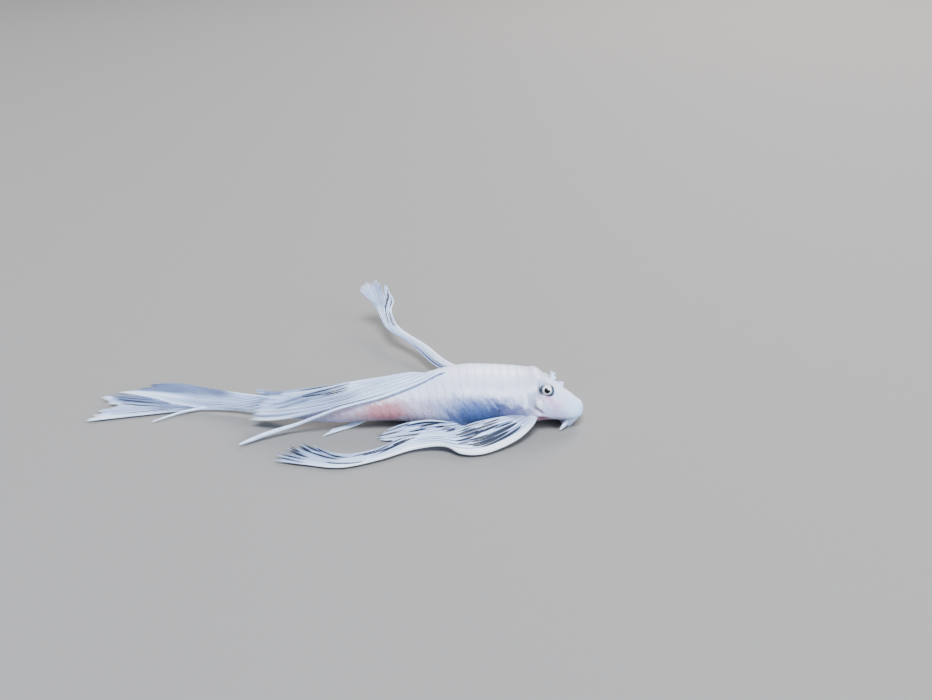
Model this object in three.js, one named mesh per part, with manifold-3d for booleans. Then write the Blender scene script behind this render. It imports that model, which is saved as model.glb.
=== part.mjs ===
// A long-finned bristlenose pleco (an armoured sucker-mouth catfish), life size, lying on its belly.
// Millimetres. +X runs towards the snout, +Y is the animal's left, +Z is up and the floor is z = 0.
import * as THREE from "three";
import { mergeVertices } from "three/addons/utils/BufferGeometryUtils.js";
import Module from "manifold-3d";

const wasm = await Module();
wasm.setup();

// Driving sizes
const SNOUT_X = 27.2;
const HEAD_LENGTH = 13.2;
const TRUNK_LENGTH = 25.6;
const BODY_LENGTH = 63.2;
const GAP = 0.3;
const PLATE_PITCH = 1.95;
const PLATE_LIFT = 0.24;
const PLATE_STEP = 0.3;
const PLATE_BULGE = 0.4;
const MEMBRANE = 0.5;
const RAY = 0.86;
const TIP = 0.3;
const EYE_RADIUS = 1.7;
const FLOOR_SINK = 0.25;

const vec = (x, y, z) => new THREE.Vector3(x, y, z);
const radians = THREE.MathUtils.degToRad;
const mix = THREE.MathUtils.lerp;

// Body sections, by distance behind the snout tip: sideways bend of the axis, half width,
// heights of the back, of the widest level and of the belly, and how square the section is below.
const SECTIONS = [
  { at: 0, bend: -2.0, half: 0.5, back: 3.9, wide: 3.1, belly: 2.3, square: 2.0 },
  { at: 0.5, bend: -1.95, half: 2.6, back: 4.8, wide: 3.1, belly: 1.7, square: 2.0 },
  { at: 1.5, bend: -1.8, half: 4.1, back: 5.5, wide: 3.3, belly: 1.5, square: 2.1 },
  { at: 3.2, bend: -1.5, half: 5.4, back: 6.7, wide: 3.6, belly: 1.6, square: 2.2 },
  { at: 5.4, bend: -1.2, half: 6.4, back: 8.1, wide: 4.0, belly: 1.7, square: 2.3 },
  { at: 8.4, bend: -0.7, half: 7.2, back: 10.15, wide: 4.4, belly: 1.6, square: 2.3 },
  { at: 11.1, bend: -0.4, half: 7.9, back: 12.2, wide: 4.8, belly: 1.1, square: 2.4 },
  { at: 13.2, bend: -0.3, half: 8.3, back: 12.1, wide: 5.1, belly: 0.6, square: 2.4 },
  { at: 16, bend: -0.1, half: 8.8, back: 12.1, wide: 5.3, belly: 0.1, square: 2.6 },
  { at: 21, bend: 0, half: 9.1, back: 12.3, wide: 5.4, belly: -FLOOR_SINK, square: 2.7 },
  { at: 27, bend: -0.1, half: 8.8, back: 12.5, wide: 5.4, belly: -FLOOR_SINK, square: 2.7 },
  { at: 32, bend: -0.4, half: 7.9, back: 12.0, wide: 5.2, belly: -0.1, square: 2.6 },
  { at: 38, bend: -1.1, half: 6.5, back: 10.6, wide: 4.9, belly: 0.5, square: 2.4 },
  { at: 44, bend: -2.2, half: 5.2, back: 9.3, wide: 4.7, belly: 1.1, square: 2.2 },
  { at: 50, bend: -3.5, half: 4.2, back: 8.5, wide: 4.6, belly: 1.3, square: 2.1 },
  { at: 56, bend: -4.6, half: 3.3, back: 8.0, wide: 4.5, belly: 1.3, square: 2.0 },
  { at: 60, bend: -5.0, half: 2.4, back: 7.8, wide: 4.4, belly: 1.2, square: 2.0 },
  { at: 63.2, bend: -5.1, half: 1.3, back: 7.7, wide: 4.4, belly: 1.1, square: 2.0 },
];

// The top of the head leans to the left, so that more of its right side shows.
const HEAD_LEAN = -12;
const LEAN_END = 17;
const headLean = (at) => HEAD_LEAN * (1 - THREE.MathUtils.smoothstep(at, 0.5 * LEAN_END, LEAN_END));

// A smooth curve through the sections' values of one kind.
function sectionValue(kind, at) {
  const n = SECTIONS.length;
  const clamped = THREE.MathUtils.clamp(at, 0, BODY_LENGTH);
  let i = 0;
  while (i < n - 2 && SECTIONS[i + 1].at < clamped) i++;
  const [p, q] = [SECTIONS[i], SECTIONS[i + 1]];
  const slope = (j) => {
    const [a, b] = [SECTIONS[Math.max(j - 1, 0)], SECTIONS[Math.min(j + 1, n - 1)]];
    return (b[kind] - a[kind]) / (b.at - a.at);
  };
  const span = q.at - p.at;
  const t = (clamped - p.at) / span;
  const [t2, t3] = [t * t, t * t * t];
  return (
    p[kind] * (2 * t3 - 3 * t2 + 1) +
    slope(i) * span * (t3 - 2 * t2 + t) +
    q[kind] * (3 * t2 - 2 * t3) +
    slope(i + 1) * span * (t3 - t2)
  );
}

// A point of the body's skin: turn 0 is the left side, 90 the back, 180 the right side and 270 the belly.
function skin(at, turn, lift = 0) {
  const [c, s] = [Math.cos(radians(turn)), Math.sin(radians(turn))];
  const wide = sectionValue("wide", at);
  const half = sectionValue("half", at);
  const tall = s > 0 ? sectionValue("back", at) - wide : wide - sectionValue("belly", at);
  const power = s > 0 ? 1 : 2 / sectionValue("square", at);
  const y = Math.sign(c) * half * Math.abs(c) ** power;
  const z = Math.sign(s) * tall * Math.abs(s) ** power;
  const out = vec(0, y / (half * half), z / (tall * tall)).normalize();
  return vec(0, y, z)
    .addScaledVector(out, lift)
    .applyAxisAngle(vec(1, 0, 0), radians(headLean(at) * Math.max(s, 0)))
    .add(vec(SNOUT_X - at, sectionValue("bend", at), wide));
}

// A closed solid through rings of points, with a fan over each end.
function loft(rings) {
  const count = rings[0].length;
  const points = rings.flat();
  const faces = [];
  for (let r = 0; r < rings.length - 1; r++) {
    for (let k = 0; k < count; k++) {
      const [a, b] = [r * count + k, r * count + ((k + 1) % count)];
      faces.push(a, b, b + count, a, b + count, a + count);
    }
  }
  for (const [ring, turnedRound] of [[0, true], [rings.length - 1, false]]) {
    const middle = rings[ring].reduce((sum, p) => sum.add(p), vec(0, 0, 0)).divideScalar(count);
    points.push(middle);
    for (let k = 0; k < count; k++) {
      const edge = [ring * count + k, ring * count + ((k + 1) % count)];
      if (turnedRound) edge.reverse();
      faces.push(...edge, points.length - 1);
    }
  }
  return new THREE.BufferGeometry().setFromPoints(points).setIndex(faces);
}

// Booleans
function toSolid(geometry) {
  const bare = geometry.index ? geometry.toNonIndexed() : geometry.clone();
  bare.deleteAttribute("normal");
  bare.deleteAttribute("uv");
  const merged = mergeVertices(bare, 1e-4);
  const made = new wasm.Manifold(
    new wasm.Mesh({
      numProp: 3,
      vertProperties: merged.attributes.position.array,
      triVerts: new Uint32Array(merged.index.array),
    }),
  );
  if (made.volume() > 0) return made;
  const turned = merged.index.array.slice().reverse();
  return new wasm.Manifold(
    new wasm.Mesh({
      numProp: 3,
      vertProperties: merged.attributes.position.array,
      triVerts: new Uint32Array(turned),
    }),
  );
}

function largestBody(solid) {
  const bodies = solid.decompose();
  return bodies.reduce((best, body) => (body.volume() > best.volume() ? body : best));
}

function toGeometry(solid) {
  const mesh = largestBody(solid).getMesh();
  return new THREE.BufferGeometry()
    .setAttribute("position", new THREE.BufferAttribute(mesh.vertProperties, 3))
    .setIndex(new THREE.BufferAttribute(mesh.triVerts, 1));
}

const joined = (pieces) => pieces.map(toSolid).reduce((all, piece) => all.add(piece));
const aboveFloor = (solid) => solid.trimByPlane([0, 0, 1], 0);

// Bony plates: five rows a side, each plate rising to its rear edge
const ROW_EDGES = [-40, -12, 14, 40, 65, 90];
const ROW_STOPS = [0, 0.34, 0.66];
const BELLY_STOPS = 7;

// The turns of one ring, from the left belly edge over the back to the right one and along the belly.
function ringStops() {
  const side = [];
  for (let row = 0; row < ROW_EDGES.length - 1; row++) {
    for (const stop of ROW_STOPS) {
      side.push({ turn: mix(ROW_EDGES[row], ROW_EDGES[row + 1], stop), raised: Math.sin(stop * Math.PI) > 0 ? 1 : 0 });
    }
  }
  const ridge = { turn: 90, raised: 0 };
  const other = side.map((s) => ({ turn: 180 - s.turn, raised: s.raised })).reverse();
  const belly = [];
  const from = 180 - ROW_EDGES[0];
  for (let k = 1; k < BELLY_STOPS; k++) {
    belly.push({ turn: mix(from, 360 + ROW_EDGES[0], k / BELLY_STOPS), raised: 0 });
  }
  return [...side, ridge, ...other, ...belly];
}

// One ring of plated skin: the plates' rear edges bulge backwards in each row.
function platedRing(at, rise, extra) {
  return ringStops().map(({ turn, raised }) => skin(at + raised * PLATE_BULGE, turn, extra + raised * rise));
}

function platedLength(from, to, extra = 0) {
  const rings = [];
  const plates = Math.round((to - from) / PLATE_PITCH);
  const pitch = (to - from - PLATE_BULGE) / plates;
  for (let k = 0; k < plates; k++) {
    rings.push(platedRing(from + k * pitch, PLATE_LIFT * 0.15, extra));
    rings.push(platedRing(from + (k + 1) * pitch - PLATE_STEP, PLATE_LIFT, extra));
  }
  rings.push(platedRing(to - PLATE_BULGE, 0, extra));
  return loft(rings);
}

// Smooth skin, used for the head and, a little swollen, to cut what meets the body clear of it.
function smoothLength(stations, sides, extra = 0) {
  const rings = stations.map((at) =>
    Array.from({ length: sides }, (_, k) => skin(at, (360 * k) / sides, extra)),
  );
  return loft(rings);
}

const stationsBetween = (from, to, steps) =>
  Array.from({ length: steps + 1 }, (_, k) => mix(from, to, k / steps));

const TRUNK_FROM = HEAD_LENGTH + GAP;
const TAIL_FROM = HEAD_LENGTH + TRUNK_LENGTH;
const swollenBody = toSolid(
  smoothLength([0, 0.5, 1.5, ...stationsBetween(3, BODY_LENGTH + GAP, 30)], 48, GAP + PLATE_LIFT + 0.1),
);

// A tapered, gently bent prong with a rounded tip: tentacles, barbels and spines.
function prong(path, rootRadius, sides, steps, tipShare = 0.35) {
  const line = new THREE.CatmullRomCurve3(path);
  const rings = [];
  for (let k = 0; k <= steps; k++) {
    const t = k / steps;
    const centre = line.getPoint(t);
    const along = line.getTangent(t);
    const across = vec(0, 0, 1).cross(along).lengthSq() > 0.05 ? vec(0, 0, 1).cross(along) : vec(0, 1, 0).cross(along);
    across.normalize();
    const up = along.clone().cross(across);
    const radius = rootRadius * mix(1, tipShare, t);
    rings.push(
      Array.from({ length: sides }, (_, j) => {
        const angle = (2 * Math.PI * j) / sides;
        return centre
          .clone()
          .addScaledVector(across, radius * Math.cos(angle))
          .addScaledVector(up, radius * Math.sin(angle));
      }),
    );
  }
  return loft(rings);
}

// Head
const EYE = { at: 9.1, turn: 46.5, sunkLeft: 1.3, sunkRight: 1.0 };
const SNOUT_TENTACLES = [
  { at: 7.2, turn: 80, length: 1.7, radius: 0.66, lean: 0.1, forked: true },
  { at: 5.1, turn: 84, length: 0.8, radius: 0.68, lean: 0.3, forked: false },
  { at: 7.0, turn: 120, length: 0.4, radius: 0.5, lean: 0.2, forked: false },
];
const CHEEK_SPINES = 5;

const eyeCentre = (turn) => skin(EYE.at, turn, turn < 90 ? -EYE.sunkLeft : -EYE.sunkRight);

function socketRim(turn) {
  const outward = skin(EYE.at, turn, 1).sub(skin(EYE.at, turn, 0)).normalize();
  return new THREE.TorusGeometry(EYE_RADIUS + 0.3, 0.34, 6, 16)
    .applyQuaternion(new THREE.Quaternion().setFromUnitVectors(vec(0, 0, 1), outward))
    .translate(...eyeCentre(turn).addScaledVector(outward, 0.5));
}

function tentacle({ at, turn, length, radius, lean, forked }) {
  const root = skin(at, turn, -0.5);
  const outward = skin(at, turn, 1).sub(skin(at, turn, 0)).normalize();
  outward.x += lean;
  outward.normalize();
  const tip = root.clone().addScaledVector(outward, length + 0.5);
  const pieces = [prong([root, root.clone().lerp(tip, 0.5), tip], radius, 5, 2, 0.65)];
  if (forked) {
    for (const side of [-1, 1]) {
      const start = root.clone().lerp(tip, 0.5);
      const end = tip.clone().add(vec(side * 0.45, side * 0.15, 0.35));
      pieces.push(prong([start, start.clone().lerp(end, 0.5), end], 0.36, 5, 1, 0.7));
    }
  }
  return pieces;
}

// The erectile spines of the cheek, in a short row that points back and out.
function cheekSpines(side) {
  return Array.from({ length: CHEEK_SPINES }, (_, k) => {
    const share = k / (CHEEK_SPINES - 1);
    const turn = side > 0 ? mix(24, 6, share) : mix(156, 174, share);
    const at = 10.6 - 0.4 * share;
    const root = skin(at, turn, -0.35);
    const tip = skin(at + 0.9, turn, 0.75 - 0.25 * share);
    return prong([root, root.clone().lerp(tip, 0.5), tip], 0.3, 4, 1, 0.4);
  });
}

function nostril(turn) {
  const outward = skin(6.1, turn, 1).sub(skin(6.1, turn, 0)).normalize();
  return new THREE.TorusGeometry(0.5, 0.2, 5, 10)
    .applyQuaternion(new THREE.Quaternion().setFromUnitVectors(vec(0, 0, 1), outward))
    .translate(...skin(6.1, turn, 0.02));
}

function head() {
  const stations = [0, 0.2, 0.5, 0.95, 1.5, 2.2, 3.1, 4.1, 5.2, 6.4, 7.7, 9, 10.3, 11.6, 12.5, HEAD_LENGTH];
  const turns = [EYE.turn, 180 - EYE.turn];
  const added = [
    smoothLength(stations, 36),
    ...turns.map(socketRim),
    nostril(60),
    nostril(120),
    ...SNOUT_TENTACLES.flatMap(tentacle),
    ...cheekSpines(1),
    ...cheekSpines(-1),
  ];
  const socket = (turn) =>
    toSolid(new THREE.SphereGeometry(EYE_RADIUS + GAP, 14, 10).translate(...eyeCentre(turn)));
  return turns.reduce((solid, turn) => solid.subtract(socket(turn)), joined(added));
}

const eye = (turn) =>
  toSolid(new THREE.SphereGeometry(EYE_RADIUS, 18, 10).translate(...eyeCentre(turn)));

// Sucker mouth: a fleshy ring of lips under the snout, flat where it holds the floor
const MOUTH = { at: 4.3, long: 1.4, wide: 3.1, lip: 1.2, top: 2.9 };

function mouth(headSolid) {
  const centre = vec(SNOUT_X - MOUTH.at, sectionValue("bend", MOUTH.at), 0);
  const rings = [];
  const around = 30;
  const profile = 10;
  for (let k = 0; k < around; k++) {
    const turn = (2 * Math.PI * k) / around;
    const frill = 1 + 0.05 * Math.cos(10 * turn);
    const ring = [];
    for (let j = 0; j < profile; j++) {
      const tube = (2 * Math.PI * j) / profile;
      const reach = MOUTH.lip * frill * Math.cos(tube);
      ring.push(
        centre.clone().add(
          vec(
            (MOUTH.long + reach) * Math.cos(turn),
            (MOUTH.wide + reach) * Math.sin(turn),
            mix(-FLOOR_SINK, MOUTH.top, 0.5 + 0.5 * Math.sin(tube)),
          ),
        ),
      );
    }
    rings.push(ring);
  }
  const points = rings.flat();
  const faces = [];
  for (let k = 0; k < around; k++) {
    for (let j = 0; j < profile; j++) {
      const [a, b] = [k * profile + j, k * profile + ((j + 1) % profile)];
      const shift = k === around - 1 ? -k * profile : profile;
      faces.push(a, b + shift, b, a, a + shift, b + shift);
    }
  }
  const lips = toSolid(new THREE.BufferGeometry().setFromPoints(points).setIndex(faces));
  return aboveFloor(lips).subtract(headSolid.translate([0, 0, -GAP]));
}

function barbel(side) {
  const middle = sectionValue("bend", MOUTH.at);
  const root = vec(SNOUT_X - MOUTH.at - 0.1, middle + side * (MOUTH.wide + MOUTH.lip + 0.6), 1.4);
  const path = [root, root.clone().add(vec(-0.55, side * 0.3, -0.5)), root.clone().add(vec(-1.2, side * 0.4, -1.05))];
  return toSolid(prong(path, 0.42, 8, 4, 0.45));
}

// Fins. A fin is a fan of rays between guide lines; its rays are ridges on both faces of a thin membrane.
// guides: lines of equally many points, from the first ray to the last. reach: how much of its line each ray runs.
// notch: how far the membrane falls short of its rays, and deeper in the splits.
function fin(spec) {
  const { guides, rays, steps, reach, splits = {} } = spec;
  const { membrane = MEMBRANE, ray = RAY, root = ray, notch = 0.05, camber = 0 } = spec;
  const lines = guides.map((points) => new THREE.CatmullRomCurve3(points));
  const reachLine = new THREE.SplineCurve(reach.map((r, k) => new THREE.Vector2(k / (reach.length - 1), r)));
  const columns = 2 * rays - 1;
  const surface = (c, t) => {
    const across = new THREE.CatmullRomCurve3(lines.map((line) => line.getPoint(Math.min(t, 1))));
    const point = across.getPoint(c);
    return point.add(vec(0, 0, camber * Math.sin(Math.PI * c) * Math.sin(Math.PI * t) ** 2));
  };
  const upper = [];
  const lower = [];
  for (let k = 0; k < columns; k++) {
    const c = k / (columns - 1);
    const isRay = k % 2 === 0;
    const end = reachLine.getPoint(c).y * (isRay ? 1 : 1 - (splits[k] ?? notch));
    const late = Math.min(6, 0.9 / (1 - end) - 1);
    for (let j = 0; j <= steps; j++) {
      const share = j / steps;
      const t = share * (1 - (1 - end) * share ** late);
      const point = surface(c, t);
      const alongRay = surface(c, Math.min(t + 0.01, 1)).sub(surface(c, Math.max(t - 0.01, 0)));
      const acrossRays = surface(Math.min(c + 0.02, 1), t).sub(surface(Math.max(c - 0.02, 0), t));
      const normal = alongRay.cross(acrossRays).normalize();
      const full = mix(isRay ? ray : membrane, TIP, share ** 3);
      const thickness = mix(root, full, Math.min(1, 4 * share));
      upper.push(point.clone().addScaledVector(normal, thickness / 2));
      lower.push(point.clone().addScaledVector(normal, -thickness / 2));
    }
  }
  const stride = steps + 1;
  const faces = [];
  const quad = (a, b, c, d) => faces.push(a, b, c, a, c, d);
  const shift = upper.length;
  for (let k = 0; k < columns - 1; k++) {
    for (let j = 0; j < steps; j++) {
      const [a, b, c, d] = [k * stride + j, k * stride + j + 1, (k + 1) * stride + j + 1, (k + 1) * stride + j];
      quad(a, b, c, d);
      faces.push(a + shift, c + shift, b + shift, a + shift, d + shift, c + shift);
    }
  }
  for (let k = 0; k < columns - 1; k++) {
    const [a, b] = [k * stride, (k + 1) * stride];
    quad(a, b, b + shift, a + shift);
    quad(b + steps, a + steps, a + steps + shift, b + steps + shift);
  }
  for (let j = 0; j < steps; j++) {
    const last = (columns - 1) * stride + j;
    quad(j + 1, j, j + shift, j + 1 + shift);
    quad(last, last + 1, last + 1 + shift, last + shift);
  }
  return toSolid(new THREE.BufferGeometry().setFromPoints([...upper, ...lower]).setIndex(faces));
}

const points = (list) => list.map((p) => vec(...p));
const clearOfBody = (solid) => solid.subtract(swollenBody);

// Right pectoral fin: a broad fan that arches out to the floor, then a long streamer laid back beside the tail.
const pectoralRight = () =>
  clearOfBody(
    fin({
      rays: 9,
      steps: 24,
      reach: [1, 0.985, 1, 0.97, 0.99, 0.96, 0.98, 0.95, 0.97],
      root: 1.3,
      camber: 0.5,
      guides: [
        points([[16.6, -7.2, 4.2], [15.0, -10.4, 3.0], [11.0, -14.6, 1.6], [3.5, -19.0, 0.8], [-1.1, -19.3, 1.1], [-4.6, -17.3, 1.7], [-11, -17.3, 1.1], [-18.9, -21.5, 0.8], [-26.8, -24.4, 0.7], [-34.6, -23.1, 0.7], [-42, -21.4, 0.7]]),
        points([[15.0, -7.3, 4.6], [13.4, -9.6, 4.0], [9.6, -12.6, 3.0], [3.0, -16.3, 1.9], [-1.8, -17.0, 1.8], [-6, -15.8, 1.9], [-12, -15.9, 1.3], [-19, -20.3, 0.9], [-27, -23.0, 0.9], [-34.6, -20.6, 0.8], [-42.6, -17.2, 0.8]]),
        points([[13.4, -7.5, 4.9], [11.2, -9.3, 4.7], [7.6, -10.9, 4.3], [2.0, -13.2, 3.2], [-2.4, -14.4, 2.5], [-7.4, -14.0, 2.2], [-13, -14.6, 1.6], [-19.4, -18.9, 1.0], [-27, -21.6, 1.0], [-33.6, -18.2, 0.9], [-39.4, -13.2, 0.9]]),
        points([[11.8, -7.8, 5.0], [9.4, -9.1, 5.0], [5.8, -9.9, 4.7], [1.0, -11.0, 4.0], [-2.8, -12.4, 2.9], [-8.4, -12.6, 2.4], [-14, -13.6, 1.8], [-19.8, -17.4, 1.2], [-26.0, -19.3, 1.1], [-31.2, -17.4, 1.0], [-35.4, -13.2, 1.0]]),
      ],
    }),
  );

// Left pectoral fin: its rays lie bundled in a narrow strip that rises behind the body and opens in two lobes.
const pectoralLeft = () =>
  clearOfBody(
    fin({
      rays: 8,
      steps: 20,
      reach: [0.95, 1, 0.97, 1, 1, 0.95, 1, 0.97],
      splits: { 5: 0.16 },
      root: 1.3,
      guides: [
        points([[16.6, 6.4, 3.8], [12.4, 11.0, 3.5], [4.6, 16.4, 3.2], [-3.5, 21.3, 3.4], [-10.5, 31.2, 4.2], [-17.5, 39.2, 5.4], [-19.4, 42.8, 6.4], [-20.5, 47.7, 7.6], [-20.0, 50.3, 8.8], [-21.6, 54.2, 10.4], [-22.5, 56.7, 12.0]]),
        points([[15.2, 6.6, 4.0], [11.2, 10.4, 3.8], [3.4, 15.7, 3.4], [-4.7, 20.7, 3.4], [-11.9, 31.2, 4.3], [-18.7, 38.8, 5.5], [-20.6, 42.7, 6.6], [-21.7, 47.6, 7.8], [-22.1, 50.7, 9.1], [-22.9, 53.7, 10.6], [-23.4, 55.2, 12.1]]),
        points([[13.8, 6.8, 4.0], [10.0, 9.9, 3.7], [2.2, 15.0, 3.3], [-5.9, 20.4, 3.3], [-13.3, 31.6, 4.2], [-20.0, 38.8, 5.5], [-21.9, 43.3, 6.5], [-23.2, 48.5, 7.7], [-24.4, 51.4, 9.1], [-25.7, 55.1, 10.7], [-26.7, 60.3, 12.3]]),
        points([[12.4, 7.0, 3.8], [8.8, 9.4, 3.4], [0.9, 14.5, 3.0], [-7.1, 20.3, 3.0], [-14.7, 32.3, 4.0], [-21.2, 39.4, 5.2], [-23.2, 44.3, 6.2], [-24.7, 49.3, 7.4], [-26.4, 51.4, 8.8], [-28.2, 52.9, 10.0], [-29.8, 53.7, 11.2]]),
      ],
    }),
  );

function pelvic(side) {
  const out = (p) => vec(p[0], side < 0 ? p[1] : -p[1] - 0.6, p[2]);
  return clearOfBody(
    fin({
      rays: 6,
      steps: 12,
      reach: [0.94, 1, 0.97, 1, 0.96, 0.9],
      root: 1.0,
      guides: [
        [[2.2, -6.6, 1.6], [-1.6, -9.6, 1.0], [-6.4, -11.4, 0.7], [-12.0, -12.4, 0.6], [-17.6, -13.0, 0.6]].map(out),
        [[0.6, -6.8, 1.7], [-3.2, -9.1, 1.7], [-8.0, -10.0, 1.4], [-14.2, -10.9, 1.0], [-21.2, -11.9, 0.6]].map(out),
        [[-1.2, -6.8, 1.8], [-4.8, -8.6, 2.3], [-9.6, -8.4, 2.3], [-14.6, -8.9, 1.7], [-20.2, -10.5, 0.8]].map(out),
      ],
    }),
  );
}

// Dorsal fin: rooted along the back and collapsed over the right flank. Its front spine lies lowest,
// and past the middle of its length it is free of the soft rays.
function dorsal() {
  const base = [skin(30.4, 92, -0.6), skin(33, 101, 1.4), skin(38, 116, 1.6)];
  const spine = [
    ...base,
    skin(46, 134, 1.5),
    skin(55.5, 153, 1.4),
    ...points([[-38.2, -8.6, 2.5], [-44.6, -11.0, 1.4], [-50.4, -14.8, 0.7]]),
  ];
  const fan = fin({
    rays: 8,
    steps: 18,
    reach: [0.99, 0.97, 0.96, 0.98, 0.95, 0.94, 0.97, 1],
    splits: { 11: 0.12 },
    root: 1.2,
    guides: [
      [...base, skin(46, 132, 1.6), skin(55, 147, 1.7), ...points([[-38.2, -8.1, 4.0], [-44.4, -7.4, 2.8], [-50.6, -5.2, 1.7]])],
      [skin(33.4, 91, -0.6), skin(36.4, 96, 1.5), skin(42, 105, 2.0), skin(50, 119, 2.1), skin(56, 134, 2.2), ...points([[-38.2, -7.8, 6.0], [-44.0, -6.4, 4.6], [-51.0, -4.0, 3.4]])],
      [skin(36.4, 90, -0.6), skin(39.4, 91, 1.7), skin(45.5, 97, 2.4), skin(52, 105, 2.5), skin(57.5, 116, 2.6), ...points([[-38.0, -6.6, 7.6], [-43.8, -5.4, 6.6], [-50.6, -2.6, 5.6]])],
      [skin(40.0, 89, -0.6), skin(43, 88, 1.6), skin(49, 88, 2.6), skin(54.5, 93, 3.0), skin(59.0, 99, 3.2), ...points([[-38.6, -4.6, 9.3], [-43.8, -3.6, 8.3], [-48.6, -3.0, 8.9]])],
    ],
  });
  return clearOfBody(fan.add(toSolid(prong(spine, 0.62, 6, 18, 0.5))));
}

const adipose = () =>
  clearOfBody(
    fin({
      rays: 3,
      steps: 5,
      reach: [1, 0.92, 0.8],
      notch: 0.02,
      root: 0.9,
      ray: 0.7,
      guides: [
        [skin(50.6, 84, 0), skin(53.0, 80, 0.9), skin(55.6, 76, 1.2)],
        [skin(52.6, 84, 0), skin(53.8, 80, 0.6), skin(55.6, 78, 0.7)],
      ],
    }),
  );

const anal = () =>
  clearOfBody(
    fin({
      rays: 5,
      steps: 10,
      reach: [1, 0.93, 0.86, 0.8, 0.74],
      notch: 0.08,
      root: 0.6,
      membrane: 0.45,
      ray: 0.62,
      guides: [
        points([[-22.6, -3.8, 0.95], [-25.4, -5.6, 0.45], [-29.0, -8.0, 0.4], [-32.6, -10.6, 0.4]]),
        points([[-25.4, -4.2, 0.95], [-27.6, -5.4, 0.5], [-30.0, -6.8, 0.42], [-32.8, -8.6, 0.4]]),
      ],
    }),
  );

// Caudal fin: upright at its root, it twists and lies down towards the floor as it opens in two lobes.
function caudal() {
  const fan = fin({
    rays: 13,
    steps: 18,
    reach: [0.97, 0.98, 0.96, 0.99, 1, 0.96, 0.99, 1, 1, 0.97, 0.96, 0.98, 1],
    splits: { 5: 0.11, 11: 0.1 },
    notch: 0.04,
    root: 1.3,
    guides: [
      points([[-36.1, -5.0, 7.5], [-42.6, -2.8, 6.4], [-48.6, 0.2, 5.4], [-55.0, 3.2, 4.7], [-62.8, 6.4, 4.3], [-69.0, 8.6, 4.2], [-76.0, 8.8, 4.2]]),
      points([[-36.1, -5.1, 5.6], [-42.8, -3.4, 5.0], [-49.0, -0.8, 4.2], [-55.2, 1.6, 3.6], [-63.4, 4.4, 3.2], [-73.6, 7.2, 3.2], [-84.4, 8.0, 3.0]]),
      points([[-36.1, -5.1, 3.6], [-43.0, -3.2, 3.2], [-49.2, -0.6, 2.6], [-55.6, 1.0, 2.1], [-64.8, 2.8, 1.6], [-77.0, 4.9, 1.4], [-89.4, 7.3, 1.5]]),
      points([[-36.1, -5.1, 1.6], [-43.0, -2.8, 1.1], [-49.2, -0.4, 0.9], [-55.4, 1.2, 0.8], [-64.2, 1.6, 0.6], [-76.4, -0.8, 0.5], [-88.6, -3.9, 0.5]]),
    ],
  });
  const looseRay = toSolid(prong(points([[-60.0, 2.6, 1.1], [-66.4, 0.6, 0.8], [-72.7, -3.9, 0.55]]), 0.5, 6, 5, 0.5));
  return clearOfBody(fan.add(looseRay));
}

// Colours seen in life
const FINISH = {
  skin: new THREE.MeshStandardMaterial({ color: 0xded6dc, roughness: 0.45, metalness: 0 }),
  fin: new THREE.MeshStandardMaterial({ color: 0xdfe6f2, roughness: 0.4, metalness: 0 }),
  lip: new THREE.MeshStandardMaterial({ color: 0xe3cdd4, roughness: 0.5, metalness: 0 }),
  eye: new THREE.MeshStandardMaterial({ color: 0x1c232b, roughness: 0.1, metalness: 0 }),
};

const fish = new THREE.Group();
function addNode(name, solid, finish) {
  const mesh = new THREE.Mesh(toGeometry(solid), FINISH[finish]);
  mesh.name = name;
  fish.add(mesh);
}

const headSolid = head();
addNode("head", headSolid, "skin");
addNode("trunk", aboveFloor(toSolid(platedLength(TRUNK_FROM, TAIL_FROM))), "skin");
addNode("tail_stalk", aboveFloor(toSolid(platedLength(TAIL_FROM + GAP - PLATE_BULGE, BODY_LENGTH))), "skin");
addNode("eye_left", eye(EYE.turn), "eye");
addNode("eye_right", eye(180 - EYE.turn), "eye");
addNode("mouth", mouth(headSolid), "lip");
addNode("barbel_left", barbel(1), "lip");
addNode("barbel_right", barbel(-1), "lip");
addNode("pectoral_fin_right", pectoralRight(), "fin");
addNode("pectoral_fin_left", pectoralLeft(), "fin");
addNode("pelvic_fin_right", pelvic(-1), "fin");
addNode("pelvic_fin_left", pelvic(1), "fin");
addNode("dorsal_fin", dorsal(), "fin");
addNode("adipose_fin", adipose(), "fin");
addNode("anal_fin", anal(), "fin");
addNode("caudal_fin", caudal(), "fin");

// The origin is on the floor, under the middle of the whole animal.
const extent = new THREE.Box3().setFromObject(fish);
const middle = extent.getCenter(vec(0, 0, 0));
fish.position.set(-middle.x, -middle.y, -extent.min.z);

export default fish;
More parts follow.
